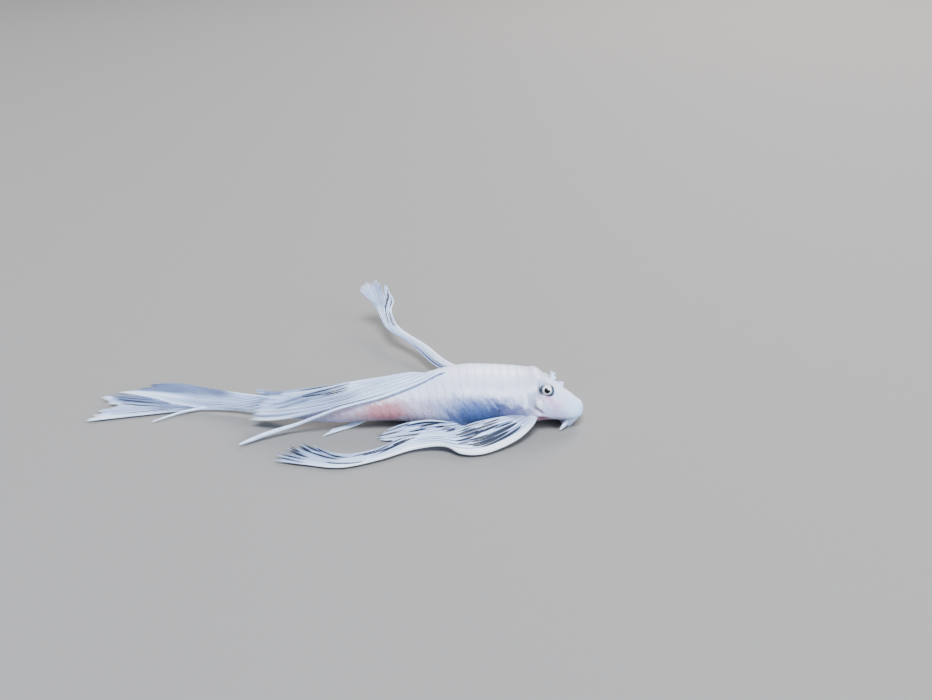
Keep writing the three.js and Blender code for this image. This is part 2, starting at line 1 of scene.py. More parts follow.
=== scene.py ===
import math
import bpy
import numpy as np
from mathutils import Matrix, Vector


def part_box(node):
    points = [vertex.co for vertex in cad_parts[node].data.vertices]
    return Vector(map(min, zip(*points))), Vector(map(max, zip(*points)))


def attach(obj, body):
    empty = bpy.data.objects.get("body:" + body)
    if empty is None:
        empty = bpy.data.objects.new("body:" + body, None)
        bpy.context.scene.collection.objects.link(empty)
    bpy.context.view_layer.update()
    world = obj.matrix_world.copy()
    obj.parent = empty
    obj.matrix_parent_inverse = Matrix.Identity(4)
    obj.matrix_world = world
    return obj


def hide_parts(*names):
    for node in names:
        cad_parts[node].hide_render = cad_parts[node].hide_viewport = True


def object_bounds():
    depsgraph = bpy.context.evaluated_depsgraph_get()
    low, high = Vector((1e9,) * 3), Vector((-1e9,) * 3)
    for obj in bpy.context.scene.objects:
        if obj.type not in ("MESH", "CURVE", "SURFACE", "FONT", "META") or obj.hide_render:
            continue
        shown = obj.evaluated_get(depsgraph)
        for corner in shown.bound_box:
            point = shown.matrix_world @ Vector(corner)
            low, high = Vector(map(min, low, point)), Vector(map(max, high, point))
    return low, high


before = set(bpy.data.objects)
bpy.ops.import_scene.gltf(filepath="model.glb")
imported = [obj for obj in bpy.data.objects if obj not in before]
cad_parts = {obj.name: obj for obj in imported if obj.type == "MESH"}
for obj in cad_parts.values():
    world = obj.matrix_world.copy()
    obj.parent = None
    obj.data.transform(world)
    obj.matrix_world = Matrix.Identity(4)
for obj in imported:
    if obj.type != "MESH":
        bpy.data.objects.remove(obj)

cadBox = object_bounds()
mm = 0.001
print("frame loaded", [tuple(round(v / mm, 1) for v in corner) for corner in cadBox])


# small helpers: the active object, grids, and closing a shape
def deselectAll():
    bpy.ops.object.select_all(action="DESELECT")


def makeActive(piece):
    deselectAll()
    piece.select_set(True)
    bpy.context.view_layer.objects.active = piece


def nameLast(name):
    piece = bpy.context.object
    piece.name = name
    piece.data.name = name
    return piece


def addGrid(name, across, along):
    # a flat sheet whose corners give each point its place, from 0 to 1 both ways
    deselectAll()
    bpy.ops.mesh.primitive_grid_add(x_subdivisions=across, y_subdivisions=along, size=2)
    piece = nameLast(name)
    flat = readPoints(piece)
    return piece, (flat[:, 0] + 1) / 2, (flat[:, 1] + 1) / 2


def readPoints(piece):
    points = np.empty(len(piece.data.vertices) * 3)
    piece.data.vertices.foreach_get("co", points)
    return points.reshape(-1, 3)


def writePoints(piece, points):
    # no piece reaches past the box of the solids
    low, high = np.array(cadBox[0]) + 0.02 * mm, np.array(cadBox[1]) - 0.02 * mm
    low[2] = 0
    points = np.clip(np.asarray(points, float), low, high)
    piece.data.vertices.foreach_set("co", points.ravel())
    piece.data.update()


def closeShape(piece, reach=2e-6):
    makeActive(piece)
    bpy.ops.object.mode_set(mode="EDIT")
    bpy.ops.mesh.select_all(action="SELECT")
    bpy.ops.mesh.remove_doubles(threshold=reach)
    bpy.ops.mesh.dissolve_degenerate(threshold=reach / 2)
    bpy.ops.mesh.select_all(action="DESELECT")
    bpy.ops.mesh.select_non_manifold(extend=False, use_wire=False, use_multi_face=False,
                                     use_non_contiguous=False, use_verts=False)
    bpy.ops.mesh.fill_holes(sides=0)
    bpy.ops.mesh.select_all(action="SELECT")
    bpy.ops.mesh.normals_make_consistent(inside=False)
    bpy.ops.mesh.select_all(action="DESELECT")
    bpy.ops.object.mode_set(mode="OBJECT")
    bpy.ops.object.shade_smooth()


def keepValue(piece, name, values):
    # one number for each point, which the material reads as an attribute
    layer = piece.data.attributes.get(name) or piece.data.attributes.new(name, "FLOAT", "POINT")
    layer.data.foreach_set("value", np.asarray(values, np.float32))


def keepPlace(piece, name, places):
    layer = piece.data.attributes.get(name) or piece.data.attributes.new(name, "FLOAT_VECTOR", "POINT")
    layer.data.foreach_set("vector", np.asarray(places, np.float32).ravel())


def smooth(value, low, high):
    t = np.clip((np.asarray(value, float) - low) / (high - low), 0, 1)
    return t * t * (3 - 2 * t)


def blend(a, b, t):
    return a + (b - a) * t


def lengths(arrows):
    return np.linalg.norm(arrows, axis=1)[:, None]


def bell(value, width):
    return np.exp(-(np.asarray(value, float) / width) ** 2)


# the body's form: places in millimetres behind the snout tip, and at each of them how far the middle bends
# aside, half the width, the heights of the back, of the widest level and of the belly, and how square the
# belly is. The head leans over by some degrees, which fades out behind it
bodyForm = {
    "snout": 27.2,
    "at": [0, 0.5, 1.5, 3.2, 5.4, 8.4, 11.1, 13.2, 16, 21, 27, 32, 38, 44, 50, 56, 60, 63.2],
    "bend": [-2, -1.95, -1.8, -1.5, -1.2, -0.7, -0.4, -0.3, -0.1, 0, -0.1, -0.4, -1.1, -2.2, -3.5,
             -4.6, -5.0, -5.1],
    "half": [0.5, 2.6, 4.1, 5.4, 6.4, 7.2, 7.9, 8.3, 8.8, 9.1, 8.8, 7.9, 6.5, 5.2, 4.2, 3.3, 2.4, 1.3],
    "back": [3.9, 4.8, 5.5, 6.7, 8.1, 10.15, 12.2, 12.1, 12.1, 12.3, 12.5, 12.0, 10.6, 9.3, 8.5, 8.0,
             7.8, 7.7],
    "wide": [3.1, 3.1, 3.3, 3.6, 4.0, 4.4, 4.8, 5.1, 5.3, 5.4, 5.4, 5.2, 4.9, 4.7, 4.6, 4.5, 4.4, 4.4],
    "belly": [3.0, 2.5, 1.95, 1.7, 1.7, 1.6, 1.1, 0.6, 0.1, -0.25, -0.25, -0.1, 0.5, 1.1, 1.3, 1.3, 1.2,
              1.1],
    "square": [2, 2, 2.1, 2.2, 2.3, 2.3, 2.4, 2.4, 2.6, 2.7, 2.7, 2.6, 2.4, 2.2, 2.1, 2, 2, 2],
    "lean": -12,
    "leanEnd": 17,
    "length": 63.2,
}


def formValue(kind, at):
    stations, values = np.array(bodyForm["at"], float), np.array(bodyForm[kind], float)
    at = np.clip(at, 0, bodyForm["length"])
    i = np.clip(np.searchsorted(stations, at, side="left") - 1, 0, len(stations) - 2)
    each = np.arange(len(stations))
    before, after = np.maximum(each - 1, 0), np.minimum(each + 1, len(stations) - 1)
    slope = (values[after] - values[before]) / (stations[after] - stations[before])
    span = stations[i + 1] - stations[i]
    t = (at - stations[i]) / span
    return (values[i] * (2 * t**3 - 3 * t**2 + 1) + slope[i] * span * (t**3 - 2 * t**2 + t)
            + values[i + 1] * (3 * t**2 - 2 * t**3) + slope[i + 1] * span * (t**3 - t**2))


def headLean(at):
    return np.radians(bodyForm["lean"]) * (1 - smooth(at, 0.5 * bodyForm["leanEnd"], bodyForm["leanEnd"]))


def bodyPoint(at, turn, lift=0.0):
    # turn 0 is the left side, 90 the back, 180 the right side and 270 the belly
    at, turn, lift = np.broadcast_arrays(np.asarray(at, float), turn, lift)
    c, s = np.cos(np.radians(turn)), np.sin(np.radians(turn))
    wide, half = formValue("wide", at), formValue("half", at)
    tall = np.where(s > 0, formValue("back", at) - wide, wide - formValue("belly", at))
    power = np.where(s > 0, 1.0, 2.0 / formValue("square", at))
    y = np.sign(c) * half * np.abs(c) ** power
    z = np.sign(s) * tall * np.abs(s) ** power
    outY, outZ = y / half**2, z / tall**2
    size = np.hypot(outY, outZ) + 1e-9
    y, z = y + outY / size * lift, z + outZ / size * lift
    lean = headLean(at) * np.maximum(s, 0)
    return np.stack([bodyForm["snout"] - at,
                     formValue("bend", at) + y * np.cos(lean) - z * np.sin(lean),
                     wide + y * np.sin(lean) + z * np.cos(lean)], -1)


def bodyPlace(points):
    # the reverse of bodyPoint: where a point stands along and around the body
    at = bodyForm["snout"] - points[:, 0]
    wide, half = formValue("wide", at), formValue("half", at)
    y0, z0 = points[:, 1] - formValue("bend", at), points[:, 2] - wide
    y, z = y0, z0
    for _ in range(4):
        tall = np.where(z > 0, formValue("back", at) - wide, wide - formValue("belly", at))
        s = np.clip(z / tall, -1, 1)
        lean = -headLean(at) * np.maximum(s, 0)
        y, z = y0 * np.cos(lean) - z0 * np.sin(lean), y0 * np.sin(lean) + z0 * np.cos(lean)
    power = np.where(z > 0, 1.0, formValue("square", at) / 2.0)
    up, out = np.sign(z) * np.abs(z / tall) ** power, np.sign(y) * np.abs(y / half) ** power
    turn = np.degrees(np.arctan2(up, out))
    return at, np.where(turn < -90, turn + 360, turn)


# lengths in millimetres; the pupil, the ring, the painted highlight lobe and the cornea in radii of the eye
eyes = {
    "at": 9.1,
    "turn": 46.5,
    "sunkLeft": 1.3,
    "sunkRight": 1.0,
    "nudge": (0.27, 0, 0.12),
    "radius": 1.7,
    "look": (0.0, 0.86, 0.50),
    "cornea": 0.05,
    "pupil": 0.42,
    "drop": 0.13,
    "ring": 0.54,
    # where the painted highlight in the pupil sits, ahead and up, and its radius
    "lobeGlint": (0.235, 0.15),
    "lobeGlintWide": 0.17,
    "paleRight": 0.7,
    "paleLeft": 0.3,
}


def eyeCentre(side):
    if side > 0:
        return bodyPoint(eyes["at"], eyes["turn"], -eyes["sunkLeft"]) + eyes["nudge"]
    return bodyPoint(eyes["at"], 180 - eyes["turn"], -eyes["sunkRight"]) + eyes["nudge"]


def eyeLook(side):
    look = np.array(eyes["look"]) * (1, side, 1)
    return look / np.linalg.norm(look)


# the solids stand over the middle of their own box, so one eye tells how far they were moved
lowEye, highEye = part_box("eye_right")
shift = (np.array(lowEye) + np.array(highEye)) / 2 / mm - eyeCentre(-1) + eyes["nudge"]
shift[2] = 0
toFrame = lambda points: (np.asarray(points, float) + shift) * mm
print("shift", shift.round(3))


# camera, lights and floor
cameraSettings = {
    "place": (0, -207.2, 111.9),
    "down": 24.6,
    "focalPixels": 999,
    "imageWidth": 932,
    "sensor": 36,
    "sees": (0.005, 20),
}


def addCamera():
    camera = bpy.data.objects.new("camera", bpy.data.cameras.new("camera"))
    bpy.context.scene.collection.objects.link(camera)
    camera.data.sensor_width = cameraSettings["sensor"]
    camera.data.lens = cameraSettings["focalPixels"] / cameraSettings["imageWidth"] * cameraSettings["sensor"]
    camera.data.clip_start, camera.data.clip_end = cameraSettings["sees"]
    camera.location = toFrame(cameraSettings["place"])
    camera.rotation_euler = (math.radians(90 - cameraSettings["down"]), 0, 0)
    bpy.context.scene.camera = camera


lights = {  # place, aim, size in metres, power and colour
    "overhead": ((10, -820, 1850), (0, 0, 0), 1.0, 90.0, (0.94, 0.97, 1)),
    "side": ((1000, -750, 650), (5, -5, 5), 0.8, 17.0, (0.90, 0.95, 1)),
    "back": ((500, 1200, 900), (0, 0, 5), 0.8, 34.0, (1.0, 0.90, 0.80)),
}
studio = {
    "sky": (0.70, 0.82, 1.0),
    "skyStrength": 0.52,
    "floor": (0.19, 0.188, 0.188),
    "floorRough": 0.85,
    "floorSize": 12,
}


def addLights():
    for name, (place, aim, size, power, colour) in lights.items():
        lamp = bpy.data.objects.new(name + "Light", bpy.data.lights.new(name + "Light", "AREA"))
        bpy.context.scene.collection.objects.link(lamp)
        lamp.data.shape = "DISK"
        lamp.data.size = size
        lamp.data.energy = power
        lamp.data.color = colour
        lamp.location = toFrame(place)
        towards = toFrame(aim) - np.array(lamp.location)
        lamp.rotation_euler = Vector(towards).to_track_quat("-Z", "Y").to_euler()
    world = bpy.data.worlds.new("studio")
    world.use_nodes = True
    sky = world.node_tree.nodes["Background"]
    sky.inputs["Color"].default_value = (*studio["sky"], 1)
    sky.inputs["Strength"].default_value = studio["skyStrength"]
    bpy.context.scene.world = world


def addFloor():
    deselectAll()
    bpy.ops.mesh.primitive_plane_add(size=studio["floorSize"], location=(0, 0, 0))
    floor = nameLast("floor")
    material = bpy.data.materials.new("paleFloor")
    material.use_nodes = True
    surface = material.node_tree.nodes["Principled BSDF"]
    surface.inputs["Base Color"].default_value = (*studio["floor"], 1)
    surface.inputs["Roughness"].default_value = studio["floorRough"]
    floor.data.materials.append(material)


addCamera()
addLights()
addFloor()
print("stage ready")


# node groups and materials
def newNode(tree, kind, **settings):
    node = tree.nodes.new(kind)
    for name, value in settings.items():
        setattr(node, name, value)
    return node


def feed(tree, node, values):
    # a link where the value comes from a node, and a constant where it doesn't
    for name, value in values.items():
        if hasattr(value, "links"):
            tree.links.new(value, node.inputs[name])
        elif value is not None:
            node.inputs[name].default_value = value
    return node


def mathNode(tree, operation, first, second=None, clamp=False):
    node = newNode(tree, "ShaderNodeMath", operation=operation, use_clamp=clamp)
    return feed(tree, node, {0: first, 1: second}).outputs[0]


def times(tree, first, second, clamp=False):
    return mathNode(tree, "MULTIPLY", first, second, clamp)


def plus(tree, first, second):
    return mathNode(tree, "ADD", first, second)


def minus(tree, first, second, clamp=False):
    return mathNode(tree, "SUBTRACT", first, second, clamp)


def vectorNode(tree, operation, first, second=None):
    node = newNode(tree, "ShaderNodeVectorMath", operation=operation)
    feed(tree, node, {0: first, 1: second})
    return node.outputs["Value" if operation in ("LENGTH", "DOT_PRODUCT") else "Vector"]


def joinNode(tree, x, y):
    return feed(tree, newNode(tree, "ShaderNodeCombineXYZ"), {0: x, 1: y}).outputs[0]


def rangeNode(tree, value, fromLow, fromHigh, toLow=0.0, toHigh=1.0):
    node = newNode(tree, "ShaderNodeMapRange", interpolation_type="SMOOTHSTEP")
    feed(tree, node, {"Value": value, "From Min": fromLow, "From Max": fromHigh,
                      "To Min": toLow, "To Max": toHigh})
    return node.outputs["Result"]


def mixColour(tree, mask, first, second):
    node = newNode(tree, "ShaderNodeMix", data_type="RGBA", blend_type="MIX")
    first, second = ((*colour, 1) if isinstance(colour, tuple) else colour for colour in (first, second))
    return feed(tree, node, {0: mask, 6: first, 7: second}).outputs[2]


def noiseNode(tree, place, scale, detail=3, rough=0.5):
    node = newNode(tree, "ShaderNodeTexNoise")
    feed(tree, node, {"Vector": place, "Scale": scale, "Detail": detail, "Roughness": rough})
    return node.outputs["Fac"]


def startGroup(name, places, numbers, results):
    # a group takes places and then numbers, and gives out numbers
    group = bpy.data.node_groups.new(name, "ShaderNodeTree")
    for labels, way, kind in ((places, "INPUT", "NodeSocketVector"), (numbers, "INPUT", "NodeSocketFloat"),
                              (results, "OUTPUT", "NodeSocketFloat")):
        for label in labels:
            group.interface.new_socket(label, in_out=way, socket_type=kind)
    return group, newNode(group, "NodeGroupInput").outputs, newNode(group, "NodeGroupOutput")


def softSpotGroup():
    # a ragged, soft-edged patch round a centre
    group, given, result = startGroup("softSpot", ["Place", "Centre", "Radii"], ["Roughen", "Ragged"],
                                      ["Mask"])
    away = vectorNode(group, "SUBTRACT", given["Place"], given["Centre"])
    away = vectorNode(group, "DIVIDE", away, given["Radii"])
    rough = times(group, given["Roughen"], given["Ragged"])
    edge = plus(group, vectorNode(group, "LENGTH", away), rough)
    feed(group, result, {"Mask": rangeNode(group, edge, 1.0, 0.35)})
    return group


# the scale, detail and roughness of each noise, and the share of the height
grainNoise = {"tint": (330, 5, 0.66), "soft": (1500, 3, 0.6), "softShare": 0.5, "bumpShare": 0.6}


def fineGrainGroup():
    # mottled tint and the tiny tooth-like grain that covers armoured skin and fin rays
    group, given, result = startGroup("fineGrain", ["Place"], ["Fineness"], ["Tint", "Height"])
    tint = noiseNode(group, given["Place"], *grainNoise["tint"])
    cells = newNode(group, "ShaderNodeTexVoronoi")
    feed(group, cells, {"Vector": given["Place"], "Scale": given["Fineness"]})
    bumps = minus(group, 1.0, cells.outputs["Distance"])
    soft = noiseNode(group, given["Place"], *grainNoise["soft"])
    height = plus(group, times(group, bumps, grainNoise["bumpShare"]),
                  times(group, soft, grainNoise["softShare"]))
    feed(group, result, {"Tint": tint, "Height": height})
    return group


# how many notches a plate's rear edge has and how deep, its fine ridges, and the teeth along and across it
plateFinish = {
    "notches": 9,
    "notchDeep": 0.035,
    "ridges": 5,
    "ridgeHigh": 0.1,
    "teethAlong": 2.6,
    "teethAcross": 8.0,
}


def bonyPlateGroup():
    # plates that rise to a toothed rear edge, from each point's count of plates and of rows
    group, given, result = startGroup("bonyPlates", [], ["Order", "Row", "Plated"],
                                      ["Height", "Seam", "Edge", "Teeth"])
    notches = mathNode(group, "SINE", times(group, given["Row"], 2 * math.pi * plateFinish["notches"]))
    order = plus(group, given["Order"], times(group, notches, plateFinish["notchDeep"]))
    phase = mathNode(group, "FRACT", order)
    rise = times(group, phase, rangeNode(group, phase, 1.0, 0.93))
    across = mathNode(group, "FRACT", given["Row"])
    rib = mathNode(group, "SINE", times(group, across, math.pi))
    ridges = mathNode(group, "SINE", times(group, across, 2 * math.pi * plateFinish["ridges"]))
    height = plus(group, times(group, rise, plus(group, times(group, rib, 0.7), 0.3)),
                  times(group, times(group, ridges, phase), plateFinish["ridgeHigh"]))
    seam = mathNode(group, "MAXIMUM", rangeNode(group, phase, 0.16, 0.0),
                    times(group, rangeNode(group, rib, 0.35, 0.0), 0.5))
    edge = times(group, rangeNode(group, phase, 0.62, 0.86), rangeNode(group, phase, 1.0, 0.93))
    # short pale teeth in rows along each plate
    dots = newNode(group, "ShaderNodeTexVoronoi")
    grid = joinNode(group, times(group, order, plateFinish["teethAlong"]),
                    times(group, given["Row"], plateFinish["teethAcross"]))
    feed(group, dots, {"Vector": grid, "Randomness": 0.75})
    teeth = rangeNode(group, dots.outputs["Distance"], 0.42, 0.12)
    for name, value in {"Teeth": teeth, "Height": height, "Seam": seam, "Edge": edge}.items():
        feed(group, result, {name: times(group, value, given["Plated"])})
    return group


softSpot = softSpotGroup()
fineGrain = fineGrainGroup()
bonyPlates = bonyPlateGroup()


def placeGroup(tree, group, values):
    return feed(tree, newNode(tree, "ShaderNodeGroup", node_tree=group), values).outputs


def startMaterial(name):
    material = bpy.data.materials.new(name)
    material.use_nodes = True
    tree = material.node_tree
    place = newNode(tree, "ShaderNodeTexCoord").outputs["Object"]
    return material, tree, tree.nodes["Principled BSDF"], place


def readValue(tree, name, kind="Fac"):
    return newNode(tree, "ShaderNodeAttribute", attribute_name=name).outputs[kind]


def addBump(tree, surface, height, distance, before=None):
    bump = newNode(tree, "ShaderNodeBump")
    feed(tree, bump, {"Height": height, "Distance": distance, "Normal": before})
    feed(tree, surface, {"Normal": bump.outputs["Normal"]})
    return bump.outputs["Normal"]


skinColours = {
    "cream": (0.56, 0.62, 0.84),
    "rose": (0.50, 0.53, 0.76),
    "lilac": (0.36, 0.39, 0.66),
    "back": (0.68, 0.75, 0.93),
    "edge": (0.84, 0.90, 1.0),
    "seam": (0.38, 0.40, 0.58),
    "belly": (0.52, 0.46, 0.58),
    "lips": (0.52, 0.68, 1.0),
    "flap": (0.52, 0.66, 0.90),
    # slit: painted shade in the gill slit and in the groove below the cheek
    "slit": (0.16, 0.11, 0.17),
    # socket: painted shade in the hollow round each eye, partly the eye's own dark outer ring
    "socket": (0.02, 0.028, 0.045),
}
# from the back down: the degrees where each tone begins and is full, and how much of it there is
skinTones = {"back": (46, 8, 0.8), "lilac": (52, 120, 0.55), "belly": (120, 140, 0.8)}
skinFinish = {
    "fineness": 3000.0,
    "edge": 0.2,
    "seam": 0.06,
    "teeth": 0.34,
    "plateBump": 0.00004,
    "grainBump": 0.00005,
    "mottle": (0.38, 0.66),
    "rough": (0.34, 0.5),
}
skinSurface = {
    "Subsurface Weight": 0.2,
    "Subsurface Radius": (1.0, 0.45, 0.45),
    "Subsurface Scale": 0.001,
    "Coat Weight": 0.15,
    "Coat Roughness": 0.22,
}

# patches of colour: millimetres behind the snout, degrees round from the back, half the length and half
# the round of each, its colour, strength and raggedness
skinPatches = {
    "greyFlank": (26.0, 74, 15.0, 28, (0.27, 0.32, 0.56), 0.6, 0.8),
    "greyNape": (11.5, 18, 6.0, 60, (0.46, 0.48, 0.62), 0.5, 0.8),
    "blueGlow": (23.8, 98, 13.6, 50, (0.085, 0.16, 0.42), 0.95, 0.6),
    "blueFlank": (22.6, 99, 11.0, 42, (0.022, 0.062, 0.22), 0.88, 0.8),
    "blueDeep": (19.6, 86, 3.8, 19, (0.008, 0.028, 0.13), 0.8, 2.0),
    "blueDark": (25.0, 88, 3.0, 15, (0.03, 0.075, 0.27), 0.6, 2.6),
    "blueThroat": (16.3, 92, 3.8, 26, (0.08, 0.085, 0.25), 0.85, 0.8),
    "pinkTail": (48.0, 96, 17.0, 66, (0.44, 0.32, 0.44), 0.75, 1.0),
    "redVent": (45.8, 88, 7.6, 48, (0.42, 0.1, 0.1), 0.68, 0.8),
    "pinkCheek": (7.4, 66, 3.2, 15, (0.5, 0.25, 0.5), 0.7, 1.4),
    "lilacCheek": (6.6, 84, 4.6, 24, (0.4, 0.39, 0.66), 0.6, 1.4),
    "greyCheek": (11.8, 68, 2.2, 22, (0.27, 0.32, 0.47), 0.7, 1.2),
    "whiteCheek": (10.6, 74, 0.9, 10, (0.78, 0.84, 1.0), 0.95, 0.6),
    "whiteFold": (11.3, 90, 1.7, 8, (0.72, 0.73, 1.0), 0.9, 0.5),
    "whiteRidge": (13.9, 70, 0.75, 16, (0.72, 0.79, 1.0), 0.85, 0.6),
    "greyRoot": (13.2, 86, 3.3, 8, (0.2, 0.21, 0.36), 0.6, 1.0),
    "redGill": (10.0, 103, 2.6, 15, (0.26, 0.05, 0.09), 0.9, 1.0),
    # painted shade under the head, tinged with the red of the gills
    "throatPaintedShade": (8.6, 124, 5.0, 24, (0.16, 0.07, 0.1), 0.85, 0.8),
    # painted shadow under the snout
    "chinPaintedShadow": (5.4, 100, 3.2, 10, (0.4, 0.38, 0.48), 0.6, 0.8),
    "blueSnout": (0.4, 80, 5.4, 90, (0.48, 0.7, 1.0), 0.85, 0.6),
}


# what frays the patches' edges: a coarse noise, and ribs that slant back over the flank
patchNoise = {"coarse": (420, 4, 0.6), "ribs": (1.0, 3, 0.6), "slant": (0.75, 0.09), "stretch": 0.02}


def mixPatches(tree, place, colour):
    # in the body's own co-ordinates, so that both flanks carry each patch
    behind, around = readValue(tree, "behindSnout"), readValue(tree, "roundFromBack")
    parts = joinNode(tree, behind, around)
    coarse = noiseNode(tree, place, *patchNoise["coarse"])
    alongShare, roundShare = patchNoise["slant"]
    slanted = plus(tree, times(tree, behind, alongShare), times(tree, around, roundShare))
    ribs = joinNode(tree, slanted, times(tree, around, patchNoise["stretch"]))
    ribs = noiseNode(tree, ribs, *patchNoise["ribs"])
    roughen = minus(tree, plus(tree, coarse, ribs), 1.0)
    for at, turn, halfLong, halfRound, tint, strength, ragged in skinPatches.values():
        spot = placeGroup(tree, softSpot, {
            "Place": parts, "Centre": (at, turn, 0), "Radii": (halfLong, halfRound, 1),
            "Roughen": roughen, "Ragged": ragged})
        colour = mixColour(tree, times(tree, spot["Mask"], strength), colour, tint)
    return colour


def makeSkinMaterial():
    material, tree, surface, place = startMaterial("paleArmouredSkin")
    grain = placeGroup(tree, fineGrain, {"Place": place, "Fineness": skinFinish["fineness"]})
    armour = placeGroup(tree, bonyPlates, {
        "Order": readValue(tree, "plateOrder"), "Row": readValue(tree, "plateRow"),
        "Plated": readValue(tree, "plated")})
    mottled = rangeNode(tree, grain["Tint"], *skinFinish["mottle"])
    colour = mixColour(tree, mottled, skinColours["cream"], skinColours["rose"])
    around = readValue(tree, "roundFromBack")
    for tone, (begin, full, share) in skinTones.items():
        colour = mixColour(tree, rangeNode(tree, around, begin, full, 0, share), colour, skinColours[tone])
    colour = mixColour(tree, times(tree, armour["Edge"], skinFinish["edge"]), colour, skinColours["edge"])
    colour = mixPatches(tree, place, colour)
    colour = mixColour(tree, times(tree, armour["Seam"], skinFinish["seam"]), colour, skinColours["seam"])
    colour = mixColour(tree, times(tree, armour["Teeth"], skinFinish["teeth"]), colour, skinColours["edge"])
    # lips and flaps take their own colours; the slit and socket masks paint shade
    for mark in ("lips", "flap", "slit", "socket"):
        colour = mixColour(tree, readValue(tree, mark + "Mask"), colour, skinColours[mark])
    rough = rangeNode(tree, grain["Tint"], 0.3, 0.7, *skinFinish["rough"])
    feed(tree, surface, {**skinSurface, "Base Color": colour, "Roughness": rough})
    plateNormal = addBump(tree, surface, armour["Height"], skinFinish["plateBump"])
    addBump(tree, surface, grain["Height"], skinFinish["grainBump"], plateNormal)
    return material


finColours = {
    "ray": (0.62, 0.77, 1.0),
    "rayShade": (0.25, 0.36, 0.74),
    # bright and grey give the fin's pale and grey streaks, and the painted highlight and shadow of its folds
    "bright": (0.86, 0.94, 1.0),
    "grey": (0.135, 0.185, 0.34),
    "membrane": (0.17, 0.27, 0.60),
    # slit: painted shade in the clear gaps between the rays
    "slit": (0.012, 0.018, 0.04),
    "flesh": (0.46, 0.51, 0.74),
}
finFinish = {
    "fineness": 5200.0,
    "streaks": (1.0, 4, 0.7),
    "streakAcross": 2.3,
    "streakAlong": 0.1,
    "boneShaded": (0.42, 0.66),
    "gapShaded": (0.35, 0.6),
    "slitSolid": 0.82,
    "rough": (0.26, 0.42),
    "jointPitch": 0.5,
    "jointHigh": 0.5,
    "bump": 0.00003,
}
finSurface = {
    "Subsurface Weight": 0.1,
    "Subsurface Scale": 0.0005,
    "Coat Weight": 0.12,
    "Coat Roughness": 0.25,
}


def makeFinMaterial(name, thinness, shade, milky):
    # thinness is how clear the skin between the rays is, shade how dark the streaks on them, milky its haze
    material, tree, surface, place = startMaterial(name)
    grain = placeGroup(tree, fineGrain, {"Place": place, "Fineness": finFinish["fineness"]})
    ray, root, slit, tone = (readValue(tree, kind) for kind in ("ray", "root", "slit", "tone"))
    onFin = newNode(tree, "ShaderNodeSeparateXYZ")
    across, along = feed(tree, onFin, {0: readValue(tree, "finPlace", "Vector")}).outputs[:2]
    streaks = joinNode(tree, times(tree, across, finFinish["streakAcross"]),
                       times(tree, along, finFinish["streakAlong"]))
    streaks = noiseNode(tree, streaks, *finFinish["streaks"])
    shaded = rangeNode(tree, streaks, *finFinish["boneShaded"], 0.0, shade)
    bone = mixColour(tree, shaded, finColours["ray"], finColours["rayShade"])
    shaded = rangeNode(tree, streaks, *finFinish["gapShaded"])
    gap = mixColour(tree, shaded, finColours["membrane"], finColours["rayShade"])
    gap = mixColour(tree, milky, gap, finColours["ray"])
    colour = mixColour(tree, root, mixColour(tree, ray, gap, bone), finColours["flesh"])
    # tone greys or brightens the colour: the fin's own streaks and bands, and the painted shadow and
    # highlight of its folds
    dim = times(tree, tone, plus(tree, times(tree, streaks, 1.1), 0.5), clamp=True)
    colour = mixColour(tree, dim, colour, finColours["grey"])
    colour = mixColour(tree, times(tree, tone, -1.0, clamp=True), colour, finColours["bright"])
    # the slits are painted near-black and almost solid: painted shade in place of what shows through them
    colour = mixColour(tree, slit, colour, finColours["slit"])
    solid = mathNode(tree, "MAXIMUM", ray, times(tree, slit, finFinish["slitSolid"]))
    thin = times(tree, minus(tree, 1.0, solid), thinness)
    alpha = minus(tree, 1.0, times(tree, thin, minus(tree, 1.0, root)), clamp=True)
    rough = rangeNode(tree, ray, 0.0, 1.0, *finFinish["rough"])
    feed(tree, surface, {**finSurface, "Base Color": colour, "Alpha": alpha, "Roughness": rough})
    joints = mathNode(tree, "SINE", times(tree, along, 2 * math.pi / finFinish["jointPitch"]))
    joints = times(tree, times(tree, joints, ray), finFinish["jointHigh"])
    addBump(tree, surface, plus(tree, joints, grain["Height"]), finFinish["bump"])
    return material


# two tones of each part, mixed in fine streaks
eyeColours = {
    "white": ((0.95, 0.96, 0.99), (0.72, 0.76, 0.82)),
    "rim": ((0.40, 0.46, 0.55), (0.62, 0.68, 0.78)),
    "dark": ((0.02, 0.03, 0.05), (0.16, 0.20, 0.27)),
    "pupil": (0.001, 0.001, 0.0015),
    # the white of the painted highlight in the pupil
    "lobeGlint": (0.96, 0.97, 1.0),
}
eyeStreaks = {"noise": (3000, 4, 0.7), "white": (0.45, 0.75), "dark": (0.4, 0.72)}
eyeWobble = {"noise": (1300, 3), "high": 0.08}
# how far past each circle its edge begins and ends, in radii of the eye
eyeEdges = {"white": (0.03, -0.03), "rim": (0.07, 0.15), "pupil": (0.02, -0.02), "lobeGlint": (0.03, -0.03),
            "coat": (0.12, 0.02), "paleRim": 0.2}
eyeSurface = {"Roughness": 0.35, "Specular IOR Level": 0.12, "Coat Roughness": 0.02, "Coat IOR": 1.42}


def axisGap(tree, fromCentre, axis):
    # distance from a line through the middle of the eye, in radii of the eye
    across = vectorNode(tree, "CROSS_PRODUCT", fromCentre, tuple(axis / np.linalg.norm(axis)))
    return mathNode(tree, "DIVIDE", vectorNode(tree, "LENGTH", across), eyes["radius"] * mm)


def eyeCircle(tree, away, radius, edge, low=0.0, high=1.0):
    begin, end = eyeEdges[edge]
    return rangeNode(tree, away, radius + begin, radius + end, low, high)


